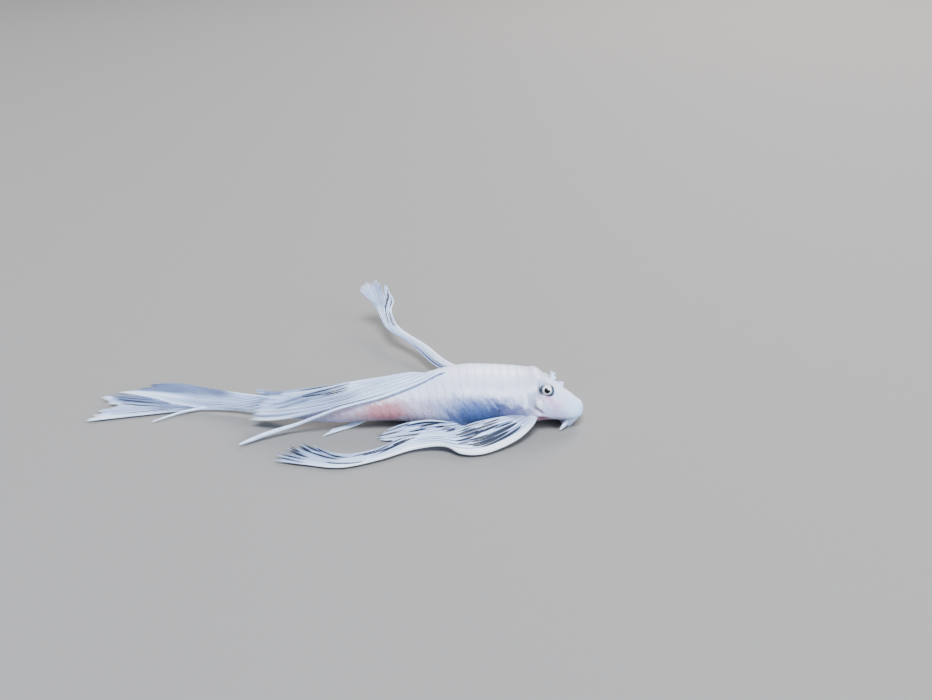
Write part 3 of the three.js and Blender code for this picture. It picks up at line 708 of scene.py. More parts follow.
def makeEyeMaterial(side):
    material, tree, surface, place = startMaterial("eyeLeftGloss" if side > 0 else "eyeRightGloss")
    look, ring, pupil = eyeLook(side), eyes["ring"], eyes["pupil"]
    fromCentre = vectorNode(tree, "SUBTRACT", place, tuple(toFrame(eyeCentre(side))))
    front = mathNode(tree, "GREATER_THAN", vectorNode(tree, "DOT_PRODUCT", fromCentre, tuple(look)), 0.0)
    wobble = minus(tree, noiseNode(tree, place, *eyeWobble["noise"]), 0.5)
    wobble = times(tree, wobble, eyeWobble["high"])
    away = plus(tree, axisGap(tree, fromCentre, look), wobble)
    streaks = noiseNode(tree, place, *eyeStreaks["noise"])
    white = mixColour(tree, rangeNode(tree, streaks, *eyeStreaks["white"]), *eyeColours["white"])
    streaks = rangeNode(tree, streaks, *eyeStreaks["dark"])
    rim, dark = (mixColour(tree, streaks, *eyeColours[part]) for part in ("rim", "dark"))
    paleFrom = eyes["paleLeft" if side > 0 else "paleRight"] * mm * eyes["radius"]
    above = rangeNode(tree, vectorNode(tree, "DOT_PRODUCT", fromCentre, (0, 0, 1)), paleFrom,
                      paleFrom + eyeEdges["paleRim"] * eyes["radius"] * mm, 1.0, 0.35)
    outer = mixColour(tree, times(tree, eyeCircle(tree, away, ring, "rim"), above), rim, dark)
    inRing = times(tree, eyeCircle(tree, away, ring, "white"), front)
    colour = mixColour(tree, inRing, outer, white)
    lowered = vectorNode(tree, "ADD", fromCentre, (0, 0, eyes["drop"] * mm))
    low = plus(tree, axisGap(tree, lowered, look), times(tree, wobble, 0.5))
    inPupil = times(tree, eyeCircle(tree, low, pupil, "pupil"), front)
    colour = mixColour(tree, inPupil, colour, eyeColours["pupil"])
    # a painted highlight: a white spot hangs into the pupil from above, in the shape of the lobe of the iris
    # that all this family has
    forward, up = eyes["lobeGlint"]
    lobeGlint = axisGap(tree, fromCentre, look + (forward, -look[2] * side * up, abs(look[1]) * up))
    inLobeGlint = times(tree, eyeCircle(tree, lobeGlint, eyes["lobeGlintWide"], "lobeGlint"), front)
    colour = mixColour(tree, inLobeGlint, colour, eyeColours["lobeGlint"])
    coat = eyeCircle(tree, away, ring, "coat", 0.1, 1.0)
    feed(tree, surface, {**eyeSurface, "Base Color": colour, "Coat Weight": coat})
    return material


# skin: where the bony plates begin and fade out, their pitch in millimetres, the degrees round the body
# where their rows meet, and the form of each
plates = {
    "from": 13.6,
    "fade": (61.0, 62.8),
    "pitch": 1.9,
    "rows": [-40, -12, 14, 40, 65, 90, 115, 140, 166, 192, 220],
    "bulge": 0.45,
    "slant": 0.02,
    "lift": 0.05,
    "keel": 0.03,
    "keelWide": 0.12,
}


def plateCount(at, turn):
    # how many plates lie ahead of a point, and which row it is in; both run on without a jump
    row = np.interp(turn, plates["rows"], np.arange(len(plates["rows"])))
    across = row - np.floor(row)
    bow = plates["bulge"] * np.sin(np.pi * across) ** 0.8
    order = (at - plates["from"] - bow + plates["slant"] * np.abs(turn - 90)) / plates["pitch"]
    first, last = plates["rows"][0], plates["rows"][-1]
    inside = smooth(turn, first - 8, first + 4) * (1 - smooth(turn, last - 4, last + 8))
    inside = inside * smooth(at, plates["from"] - 0.9, plates["from"] + 0.6)
    inside = inside * (1 - smooth(at, *plates["fade"]))
    return order + 40, row + 2, inside  # both counts stay above zero


def plateForm(at, turn):
    # lift of the plates: each rises to its rear edge, with a low keel along the middle of its row
    order, row, inside = plateCount(at, turn)
    phase, across = order - np.floor(order), row - np.floor(row)
    rise = smooth(phase, 0.0, 0.85) * (1 - smooth(phase, 0.88, 1.0))
    side = np.sin(np.pi * across) ** 0.6
    keel = plates["keel"] * bell(across - 0.5, plates["keelWide"]) * rise
    return inside * (plates["lift"] * rise * (0.4 + 0.6 * side) + keel)


# hollows and folds of the head: start and end are millimetres behind the snout and degrees round the body
headMarks = {
    "socket": {"radius": 1.66, "deep": 0.55, "rim": 0.12, "brow": 0.08, "behind": 0.4, "leftHigh": 0.3},
    "shoulder": {"at": 13.7, "from": 146, "to": 192, "high": 0.22, "width": 0.42},
    "gillSlit": {"start": (12.0, 168), "end": (9.6, 179), "high": -0.5, "width": 0.36},
    "gillFold": {"start": (12.2, 175), "end": (10.3, 183), "high": 0.25, "width": 0.5},
    "gillGap": {"start": (11.6, 188), "end": (8.6, 198), "high": -0.45, "width": 0.4},
    "cheek": {"start": (10.9, 158), "end": (10.5, 168), "high": 0.2, "width": 0.5},
    "snoutRidges": 0.1,
    "snoutHollow": 0.12,
    "napeDip": 0.05,
}


def surfaceGap(at, turn, otherAt, otherTurn):
    # distance over the skin, near enough for small marks
    return np.hypot(at - otherAt, np.radians(turn - otherTurn) * (formValue("half", otherAt) + 0.6))


def lineGap(at, turn, mark):
    start, end = mark["start"], mark["end"]
    wide = np.radians(1) * (formValue("half", 0.5 * (start[0] + end[0])) + 0.6)
    x, y = at - start[0], turn * wide - start[1] * wide
    long, high = end[0] - start[0], end[1] * wide - start[1] * wide
    share = np.clip((x * long + y * high) / (long**2 + high**2), 0, 1)
    return np.hypot(x - share * long, y - share * high), share


def headForm(at, turn):
    lift = np.zeros_like(at)
    socket, shoulder = headMarks["socket"], headMarks["shoulder"]
    for eyeTurn in (eyes["turn"], 180 - eyes["turn"]):
        middle = eyes["at"] - eyes["nudge"][0]
        gap = surfaceGap(at, turn, middle, eyeTurn)
        nearest = np.minimum(gap, surfaceGap(at, turn, middle + socket["behind"], eyeTurn))
        hollow = 1 - smooth(nearest, socket["radius"] - 0.25, socket["radius"] + 0.12)
        lift = lift - socket["deep"] * hollow
        high = 1.0 if eyeTurn > 90 else socket["leftHigh"]
        lift = lift + high * socket["rim"] * bell(nearest - socket["radius"] - 0.5, 0.42)
        above = smooth(np.abs(90 - eyeTurn) - np.abs(turn - 90), 2, 12)
        lift = lift + high * socket["brow"] * bell(gap - socket["radius"] - 0.25, 0.5) * above
    mirrored = np.where(turn > 90, turn, 180 - turn)
    first, last = shoulder["from"], shoulder["to"]
    along = smooth(mirrored, first - 6, first + 8) * (1 - smooth(mirrored, last - 8, last + 6))
    lift = lift + shoulder["high"] * along * bell(at - shoulder["at"], shoulder["width"])
    for mark in (headMarks[name] for name in ("gillSlit", "gillFold", "gillGap", "cheek")):
        gap, share = lineGap(at, mirrored, mark)
        lift = lift + mark["high"] * bell(gap, mark["width"]) * (0.35 + 0.65 * np.sin(np.pi * share))
    # a low ridge on each side of the snout's top, a hollow between them, and a slight dip at the nape
    lift = lift + headMarks["snoutRidges"] * bell(at - 7.0, 2.0) * bell(np.abs(turn - 90) - 24, 9)
    lift = lift - headMarks["snoutHollow"] * bell(at - 6.5, 2.2) * bell(turn - 90, 12)
    nape = smooth(at, 11.4, 12.4) * (1 - smooth(at, 13.0, 14.6)) * bell(turn - 90, 20)
    return lift - headMarks["napeDip"] * nape


# faces round and along, the shares of the length where the nose ends and the wedge begins, and its size
skinMesh = {"around": 200, "along": 370, "nose": 0.012, "tail": 0.962, "wedge": 2.6, "turnIn": 0.75}


def addBodyCore():
    core, u, v = addGrid("skin", skinMesh["around"], skinMesh["along"])
    nose, tail = skinMesh["nose"], skinMesh["tail"]
    at = np.clip((v - nose) / (tail - nose), 0, 1) * bodyForm["length"]
    turn = u * 360.0 - 90.0
    points = bodyPoint(at, turn, plateForm(at, turn) + headForm(at, turn))
    level = (formValue("back", at) + formValue("belly", at)) / 2
    middle = np.stack([bodyForm["snout"] - at, formValue("bend", at), level], -1)
    close = np.clip(v / nose, 0, 1) ** 0.5
    points = middle + (points - middle) * close[:, None]
    # behind the stalk a wedge thins out into the root of the tail fin
    past = np.clip((v - tail) / (1 - tail), 0, 1)
    points[:, 0] -= skinMesh["wedge"] * past
    fromMiddle = points - middle
    points[:, 1] = middle[:, 1] + fromMiddle[:, 1] * (1 - past) ** 0.8 + skinMesh["turnIn"] * past**1.5
    points[:, 2] = np.maximum(middle[:, 2] + fromMiddle[:, 2] * (1 - 0.22 * past), 0.0)
    writePoints(core, toFrame(points))
    closeShape(core)
    return core


def curvePoints(control, t):
    # a centripetal curve through control points of shape (points, places, 3), one t for each place
    last = len(control) - 1
    step = np.clip(t * last, 0, last)
    i = np.minimum(step.astype(int), last - 1)
    w = (step - i)[:, None]
    pick = np.arange(control.shape[1])
    p1, p2 = control[i, pick], control[i + 1, pick]
    ahead, beyond = 2 * control[0] - control[1], 2 * control[last] - control[last - 1]
    p0 = np.where((i > 0)[:, None], control[np.maximum(i - 1, 0), pick], ahead)
    p3 = np.where((i + 2 <= last)[:, None], control[np.minimum(i + 2, last), pick], beyond)
    gap = lambda a, b: np.maximum(((a - b) ** 2).sum(1) ** 0.25, 1e-4)[:, None]
    d0, d1, d2 = gap(p0, p1), gap(p1, p2), gap(p2, p3)
    m1 = ((p1 - p0) / d0 - (p2 - p0) / (d0 + d1) + (p2 - p1) / d1) * d1
    m2 = ((p2 - p1) / d1 - (p3 - p1) / (d1 + d2) + (p3 - p2) / d2) * d1
    return p1 + m1 * w + (-3 * p1 + 3 * p2 - 2 * m1 - m2) * w**2 + (2 * p1 - 2 * p2 + m1 + m2) * w**3


def lineOf(path, t):
    path = np.array(path, float)
    return curvePoints(path[:, None, :].repeat(len(t), 1), t)


def addTube(name, path, radius, sides, steps, tip=0.45):
    # a tapered prong with a round end along a smooth path
    prong, u, v = addGrid(name, sides, steps)
    centre = lineOf(path, v)
    along = lineOf(path, np.minimum(v + 0.01, 1)) - lineOf(path, np.maximum(v - 0.01, 0))
    along = along / (lengths(along) + 1e-9)
    rise = abs(path[-1][2] - path[0][2]) / np.linalg.norm(np.array(path[-1]) - np.array(path[0]))
    across = np.cross([0.0, 0.0, 1.0] if rise < 0.8 else [0.0, 1.0, 0.0], along)
    across = across / lengths(across)
    up = np.cross(along, across)
    steady = np.interp(v, np.linspace(0, 1, len(radius)), radius) if isinstance(radius, list) else radius
    swell = steady * (1 - (1 - tip) * v)
    swell = swell * np.sqrt(np.clip(1 - np.clip((v - 0.88) / 0.12, 0, 1) ** 2, 0, 1))
    swell = np.where(v <= 0, 0, swell)
    angle = 2 * np.pi * u
    points = centre + across * (swell * np.cos(angle))[:, None] + up * (swell * np.sin(angle))[:, None]
    writePoints(prong, toFrame(points))
    closeShape(prong)
    return prong


mouthForm = {
    "at": 3.6,
    "long": 1.15,
    "wide": 3.1,
    "lip": 1.2,
    "foot": -0.25,
    "top": 3.1,
    "slope": 0.95,
    "slopeFrom": 1.3,
    "folds": 34,
    "frill": 0.05,
    "waves": 10,
    "waveHigh": 0.04,
}


def addLips():
    lips, u, v = addGrid("lips", 140, 36)
    turn, tube = 2 * np.pi * u, 2 * np.pi * v
    outward = 0.5 - 0.5 * np.sin(tube)
    frill = 1 + mouthForm["frill"] * np.cos(mouthForm["folds"] * turn) * outward
    frill = frill + mouthForm["waveHigh"] * np.cos(mouthForm["waves"] * turn)
    reach = mouthForm["lip"] * frill * np.cos(tube)
    height = blend(mouthForm["foot"], mouthForm["top"], 0.5 + 0.5 * np.sin(tube))
    lean = mouthForm["slope"] * (height - mouthForm["slopeFrom"]) * np.maximum(np.cos(turn), 0)
    ahead = bodyForm["snout"] - mouthForm["at"] + (mouthForm["long"] + reach) * np.cos(turn) + lean
    aside = formValue("bend", mouthForm["at"]) + (mouthForm["wide"] + reach) * np.sin(turn)
    points = np.stack([ahead, aside, np.maximum(height, 0)], -1)
    writePoints(lips, toFrame(points))
    closeShape(lips)
    return lips


def outwardFrom(at, turn):
    out = bodyPoint(at, turn, 1.0) - bodyPoint(at, turn, 0.0)
    return out / np.linalg.norm(out)


# a prong's three values are where it leaves the flap, as a share of its length, its reach and its radius
snoutFlaps = [
    {"at": 7.2, "turn": 80, "length": 1.6, "radius": 0.7, "tip": 0.62, "lean": 0.05, "prongs": [
        (0.55, (-0.3, 0, 0.58), 0.34), (0.55, (0.6, -0.1, 0.18), 0.34), (0.05, (0.8, -0.2, 0.35), 0.4)]},
    {"at": 6.35, "turn": 84, "length": 0.26, "radius": 0.6, "tip": 0.8, "lean": 0.2, "prongs": []},
    {"at": 5.4, "turn": 84, "length": 0.92, "radius": 0.78, "tip": 0.74, "lean": 0.25, "prongs": []},
    {"at": 6.2, "turn": 60, "length": 0.35, "radius": 0.42, "tip": 0.8, "lean": 0.2, "prongs": []},
]


def addSnoutFlaps():
    made = []
    for k, flap in enumerate(snoutFlaps):
        root = bodyPoint(flap["at"], flap["turn"], -0.5)
        out = outwardFrom(flap["at"], flap["turn"]) + np.array([flap["lean"], 0, 0])
        tip = root + out / np.linalg.norm(out) * (flap["length"] + 0.5)
        path = [root, blend(root, tip, 0.5), tip]
        made.append(addTube(f"flap{k}", path, flap["radius"], 22, 24, flap["tip"]))
        for share, reach, radius in flap["prongs"]:
            start = blend(root, tip, share)
            end = blend(root, tip, share + 0.4) + np.array(reach)
            path = [start, blend(start, end, 0.5), end]
            made.append(addTube(f"flap{k}prong", path, radius, 18, 16, 0.75))
    return made


barbels = {"back": 1.25, "out": 0.85, "up": 1.1, "radius": 0.68, "tip": 0.2}


def addBarbels():
    made = []
    middle = formValue("bend", mouthForm["at"])
    for side in (-1, 1):
        aside = middle + side * (mouthForm["wide"] + mouthForm["lip"] + barbels["out"])
        root = np.array([bodyForm["snout"] - mouthForm["at"] - barbels["back"], aside, barbels["up"]])
        inner = root + np.array([0.7, -side * 1.2, 0.45])
        path = [inner, root, root + (-0.5, side * 0.45, -0.4), root + (-1.0, side * 0.9, -0.8)]
        made.append(addTube(f"barbel{side}", path, barbels["radius"], 20, 30, barbels["tip"]))
    return made


def uniteWith(core, extras):
    for extra in extras:
        makeActive(core)
        union = core.modifiers.new("union", "BOOLEAN")
        union.operation = "UNION"
        union.solver = "MANIFOLD"
        union.object = extra
        bpy.ops.object.modifier_apply(modifier=union.name)
        bpy.data.objects.remove(extra, do_unlink=True)


# how strongly each mark is coloured
markStrength = {
    # painted shade in the gill slit and in the groove below the cheek
    "slit": 0.9,
    "gap": 0.75,
    # the painted shade round each eye: its strength, the more behind the eye and the less on its top
    "socket": 0.66,
    "socketRear": 0.34,
    "socketTop": 0.75,
    "lips": 0.7,
    "flap": 0.7,
}


def markSkin(skin):
    points = readPoints(skin) / mm - shift
    at, turn = bodyPlace(points)
    mirrored = np.where(turn > 90, turn, 180 - turn)
    order, row, inside = plateCount(at, turn)
    for name, values in {"plateOrder": order, "plateRow": row, "plated": inside, "behindSnout": at,
                         "roundFromBack": mirrored - 90}.items():
        keepValue(skin, name, values)

    # painted shade along the gill slit and in the groove below the cheek
    slit, share = lineGap(at, mirrored, headMarks["gillSlit"])
    slit = markStrength["slit"] * bell(slit, 0.32) * smooth(np.minimum(share, 1 - share), -0.05, 0.15)
    under, share = lineGap(at, mirrored, headMarks["gillGap"])
    under = markStrength["gap"] * bell(under, 0.4) * smooth(np.sin(np.pi * share), 0, 0.4)
    keepValue(skin, "slitMask", np.maximum(slit, under))
    # painted shade round each eye, partly its own dark outer ring: darker behind the eye and paler on its top
    dark = np.zeros(len(points))
    for side in (-1, 1):
        look = eyeLook(side)
        away = points - eyeCentre(side)
        level = away - np.outer(away @ look, look)
        radius = np.linalg.norm(level, axis=1)
        rear = smooth(-level[:, 0] / (radius + 1e-6), 0.55, 0.95)
        near = (away @ look > -0.5) & (radius < 4)
        top = smooth(level[:, 2] / (radius + 1e-6), *((0.1, 0.7) if side < 0 else (-0.4, 0.3)))
        depth = markStrength["socket"] + markStrength["socketRear"] * rear
        depth = depth * (1 - markStrength["socketTop"] * top)
        dark = np.maximum(dark, near * (1 - smooth(radius, 1.42 + 0.4 * rear, 1.6 + 0.85 * rear)) * depth)
    keepValue(skin, "socketMask", dark)

    # the lips and, out to the side of them, the barbels
    ahead, height = points[:, 0] - bodyForm["snout"] + mouthForm["at"] - 1.0, points[:, 2]
    aside = points[:, 1] - formValue("bend", mouthForm["at"])
    mouthAway = np.hypot(ahead / 2.4, aside / 6.0)
    whisker = smooth(np.abs(aside), 4.0, 4.6) * (1 - smooth(height, 1.8, 2.2)) * (1 - smooth(at, 6.6, 7.2))
    around = np.maximum(1 - smooth(mouthAway, 1.0, 1.25), whisker)
    keepValue(skin, "lipsMask", markStrength["lips"] * (1 - smooth(height, 1.6, 3.0)) * around)
    flaps = np.zeros(len(points))
    for flap in snoutFlaps[:3]:
        top = bodyPoint(flap["at"], flap["turn"], 0.9)
        flaps = np.maximum(flaps, 1 - smooth(np.linalg.norm(points - top, axis=1), 0.6, 1.5))
    keepValue(skin, "flapMask", markStrength["flap"] * flaps)


def makeSkin():
    core = addBodyCore()
    uniteWith(core, [addLips()] + addBarbels() + addSnoutFlaps())
    markSkin(core)
    core.data.materials.clear()
    core.data.materials.append(makeSkinMaterial())
    makeActive(core)
    bpy.ops.object.shade_smooth()
    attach(core, "root")
    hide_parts("head", "trunk", "tail_stalk", "mouth", "barbel_left", "barbel_right")
    print("skin", len(core.data.polygons), "faces")


bristles = {
    "count": 14,
    "from": (10.9, 156),
    "to": (10.7, 164.5),
    "rows": 2,
    "rowGap": 0.3,
    "length": 1.25,
    "radius": 0.1,
    "tip": 0.25,
    "colours": ((0.97, 0.96, 1.0), (0.84, 0.78, 0.86)),
    "rough": 0.35,
    "fineness": 6000.0,
}


def makeCheekBristles():
    # fine spines that spread back and out from each cheek, joined in one piece
    made = []
    for side in (-1, 1):
        for k in range(bristles["count"]):
            share = k / (bristles["count"] - 1)
            at, turn = (blend(begin, end, share) for begin, end in zip(bristles["from"], bristles["to"]))
            at = at + bristles["rowGap"] * (k % bristles["rows"])
            length = bristles["length"] * (0.75 + 0.25 * math.cos(1.7 * k)) * (1 - 0.25 * share)
            turn = turn if side < 0 else 180 - turn
            root = bodyPoint(at, turn, -0.15)
            middle = bodyPoint(at + 0.3 * length, turn + 1.5 * side, 0.32 * length)
            tip = bodyPoint(at + 0.85 * length, turn - 2 * side * math.sin(k), 0.42 * length)
            path = [root, middle, tip]
            made.append(addTube(f"bristle{side}{k}", path, bristles["radius"], 8, 10, bristles["tip"]))
    makeActive(made[0])
    for piece in made[1:]:
        piece.select_set(True)
    bpy.ops.object.join()
    piece = nameLast("cheekBristles")
    material, tree, surface, place = startMaterial("bristleHorn")
    grain = placeGroup(tree, fineGrain, {"Place": place, "Fineness": bristles["fineness"]})
    colour = mixColour(tree, grain["Tint"], *bristles["colours"])
    feed(tree, surface, {"Base Color": colour, "Roughness": bristles["rough"]})
    piece.data.materials.append(material)
    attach(piece, "root")
    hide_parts("head")


# eyes
def makeEye(side):
    deselectAll()
    bpy.ops.mesh.primitive_uv_sphere_add(segments=72, ring_count=48, radius=eyes["radius"] * mm)
    eye = nameLast("eyeLeft" if side > 0 else "eyeRight")
    points = readPoints(eye)
    radius = eyes["radius"] * mm
    ahead = points @ eyeLook(side) / radius
    # the cornea stands a little proud
    points = points + np.outer(eyes["cornea"] * radius * smooth(ahead, 0.7, 1.0), eyeLook(side))
    writePoints(eye, points + toFrame(eyeCentre(side)))
    makeActive(eye)
    bpy.ops.object.shade_smooth()
    eye.data.materials.append(makeEyeMaterial(side))
    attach(eye, "root")
    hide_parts("eye_left" if side > 0 else "eye_right")


# fins
def scatter(number):
    # a steady scatter between 0 and 1, the same at every run
    value = np.sin(np.asarray(number, float) * 12.9898) * 43758.5453
    return value - np.floor(value)


def rayPattern(c, t, fin):
    # each ray parts in two and then in four on its way to the tip: this gives the distance to the nearest
    # ray in spacings between rays, the width left to it, and its number
    q = c * (fin["rays"] - 1)
    nearest = np.round(q)
    offset = q - nearest
    inTwo, inFour = (smooth(t, begin, begin + long) for begin, long in zip(fin["branch"], fin["branchLong"]))
    best, number = np.full(len(c), 9.0), np.zeros(len(c))
    for a in (-1, 1):
        for b in (-1, 1):
            gap = np.abs(offset - a * (0.25 * inTwo) - b * (0.125 * inFour))
            number = np.where(gap < best, 4 * nearest + 1.5 + a + b / 2, number)
            best = np.minimum(best, gap)
    return best, 1 - 0.5 * inTwo - 0.25 * inFour, number


def finSheet(fin, c, t):
    # the middle of the fin: c runs across the rays from the leading edge, t along them from the root
    lines = np.stack([lineOf(guide, t) for guide in fin["guides"]])
    point = curvePoints(lines, c)
    point[:, 2] += fin["camber"] * np.sin(np.pi * c) * np.sin(np.pi * t) ** 2
    return point


def slitMask(c, t, width, fin):
    # long narrow gaps between the rays, where the skin of the fin is clear; the material paints them
    # near-black and almost solid, as painted shade seen through them
    mask = np.zeros(len(c))
    for c0, t0, c1, t1, wide in fin["slits"]:
        along = np.clip((t - t0) / (t1 - t0), 0, 1)
        half = 0.5 * wide * fin["slitScale"] * np.sqrt(np.sin(np.pi * along)) * (t > t0) * (t < t1)
        away = np.abs(c - blend(c0, c1, along)) * width
        mask = np.maximum(mask, (1 - smooth(away, 0.55 * half, 1.25 * half + 0.03)) * (half > 0.02))
    return mask


def makeFinSheet(name, fin, material):
    columns, rows = fin["columns"], fin["rows"]
    piece, u, v = addGrid(name, 2 * columns, rows)
    c = np.where(u < 0.5, 2 * u, 2 - 2 * u)
    face = np.where(u < 0.5, 1.0, -1.0)
    reach = np.interp(c, np.linspace(0, 1, len(fin["reach"])), fin["reach"])
    tipGap, tipShare, number = rayPattern(c, np.ones_like(c), fin)
    end = reach - fin["jag"] * scatter(number) - fin["notch"] * smooth(tipGap / tipShare, 0.1, 0.5)
    for place, deep, width in fin["splits"]:
        end = end - deep * bell(c - place, width)
    end = np.clip(end, 0.3, 1.0)
    late = np.minimum(6, 0.9 / np.maximum(1 - end, 1e-3) - 1)
    t = v * (1 - (1 - end) * v**late)

    point = finSheet(fin, c, t)
    alongRay = finSheet(fin, c, np.minimum(t + 0.01, 1)) - finSheet(fin, c, np.maximum(t - 0.01, 0))
    ahead, behind = np.maximum(c - 0.02, 0), np.minimum(c + 0.02, 1)
    acrossRays = finSheet(fin, behind, t) - finSheet(fin, ahead, t)
    width = np.linalg.norm(acrossRays, axis=1) / (behind - ahead)
    normal = np.cross(alongRay, acrossRays)
    normal = normal / (lengths(normal) + 1e-12)

    gap, share, number = rayPattern(c, t, fin)
    half = fin["rayShare"] * share * (0.75 + 0.5 * scatter(number + 7))
    ray = 1 - smooth(gap, 0.7 * half, 1.3 * half)
    taper = blend(1.0, fin["thinning"], smooth(t, 0.1, 1.0))
    spine = 0 * c
    if fin["spineWidth"]:
        spine = 1 - smooth(c * width, fin["spineWidth"] * taper, (fin["spineWidth"] + 0.2) * taper)
    ray = np.maximum(ray, spine)
    slit = slitMask(c, t, width, fin)
    thick = fin["membrane"] + fin["rayThick"] * ray * (1 - slit) * taper + fin["spineThick"] * spine * taper
    thick = blend(thick, fin["rootThick"], 1 - smooth(v, 0.0, fin["rootReach"]))
    edge = np.minimum(c, 1 - c) * width
    edgeRound = np.sqrt(np.clip(1 - (1 - np.clip(edge / np.maximum(thick, 0.05), 0, 1)) ** 2, 0, 1))
    thick = thick * edgeRound * np.sqrt(np.clip((1 - v) / fin["tipRound"], 0, 1)) * np.where(v <= 0, 0, 1)
    lift = fin["pleat"] * np.cos(2 * np.pi * c * (fin["rays"] - 1)) * smooth(t, 0.08, 0.3)
    ripple = fin["ripple"] * np.sin(2 * np.pi * (c * 1.7 + t * 2.3) + 1)
    lift = lift + ripple * smooth(t, 0.4, 0.8) * smooth(edge, 0, 1)
    tone = smooth(scatter(np.round(c * (fin["rays"] - 1)) + 3), 0.45, 1.0)
    tone = fin["shade"] * tone * smooth(t, 0.25, 0.6)
    for c0, t0, c1, t1, halfWidth, amount in fin["bands"]:
        along = (t - t0) / (t1 - t0)
        near = bell(c - blend(c0, c1, np.clip(along, 0, 1)), halfWidth)
        tone = tone + amount * (near * smooth(along, -0.12, 0.2) * (1 - smooth(along, 0.8, 1.12)))
    # each fold lifts the sheet along a line, with painted shadow just past it and a painted highlight along
    # its raised edge
    for fold in fin["folds"]:
        across = c - np.interp(t, fold["t"], fold["c"])
        here = smooth(t, fold["t"][0], fold["t"][0] + 0.05)
        lift = lift + fold["high"] * here * smooth(across, -0.3, -0.01) * (1 - smooth(across, -0.01, 0.02))
        tone = tone + fold["dark"] * here * smooth(across, 0.0, 0.02) * (1 - smooth(across, 0.06, 0.2))
        tone = tone - fold["bright"] * here * bell(across + 0.03, 0.035)
    point = point + normal * (face * thick / 2 + lift * edgeRound)[:, None]
    point[:, 2] = np.maximum(point[:, 2], fin["lowest"])

    writePoints(piece, toFrame(point))
    keepValue(piece, "ray", np.clip(ray, 0, 1) * (1 - slit))
    keepValue(piece, "slit", slit)
    keepValue(piece, "tone", np.clip(tone, -1, 1))
    keepValue(piece, "root", fin["rootPale"] * (1 - smooth(v, *fin["rootLong"])))
    length = lengths(np.diff(lineOf(fin["guides"][1], np.linspace(0, 1, 60)), axis=0)).sum()
    keepPlace(piece, "finPlace", np.stack([c * (fin["rays"] - 1), t * length, 0 * c], -1))
    closeShape(piece, 1e-6)
    piece.data.materials.append(material)
    return piece


# thicknesses and widths in millimetres; branch, reach, notch and jag in shares of a ray's length.
# The guides are lines from root to tip, from the leading edge on. Slits, bands and splits are placed by c
# and t, from 0 to 1: a slit's values are its start, its end and its width; a band's are its start, its end,
# half its width in c, and how grey it is, or how bright where that is below zero; a split's are its c, its
# depth and its width
finBase = {
    "columns": 160, "rows": 130, "branch": (0.34, 0.62), "rayShare": 0.3, "rayThick": 0.24, "membrane": 0.09,
    "spineWidth": 0.3, "spineThick": 0.3, "rootThick": 0.8, "pleat": 0.07, "ripple": 0.0, "notch": 0.035,
    "jag": 0.03, "camber": 0, "splits": [], "folds": [], "slits": [], "slitScale": 1.4, "bands": [],
    "shade": 0.35, "rootLong": (0.02, 0.12), "rootPale": 1.0, "thinning": 0.4, "lowest": 0.03,
    "branchLong": (0.24, 0.2), "rootReach": 0.09, "tipRound": 0.02,
}

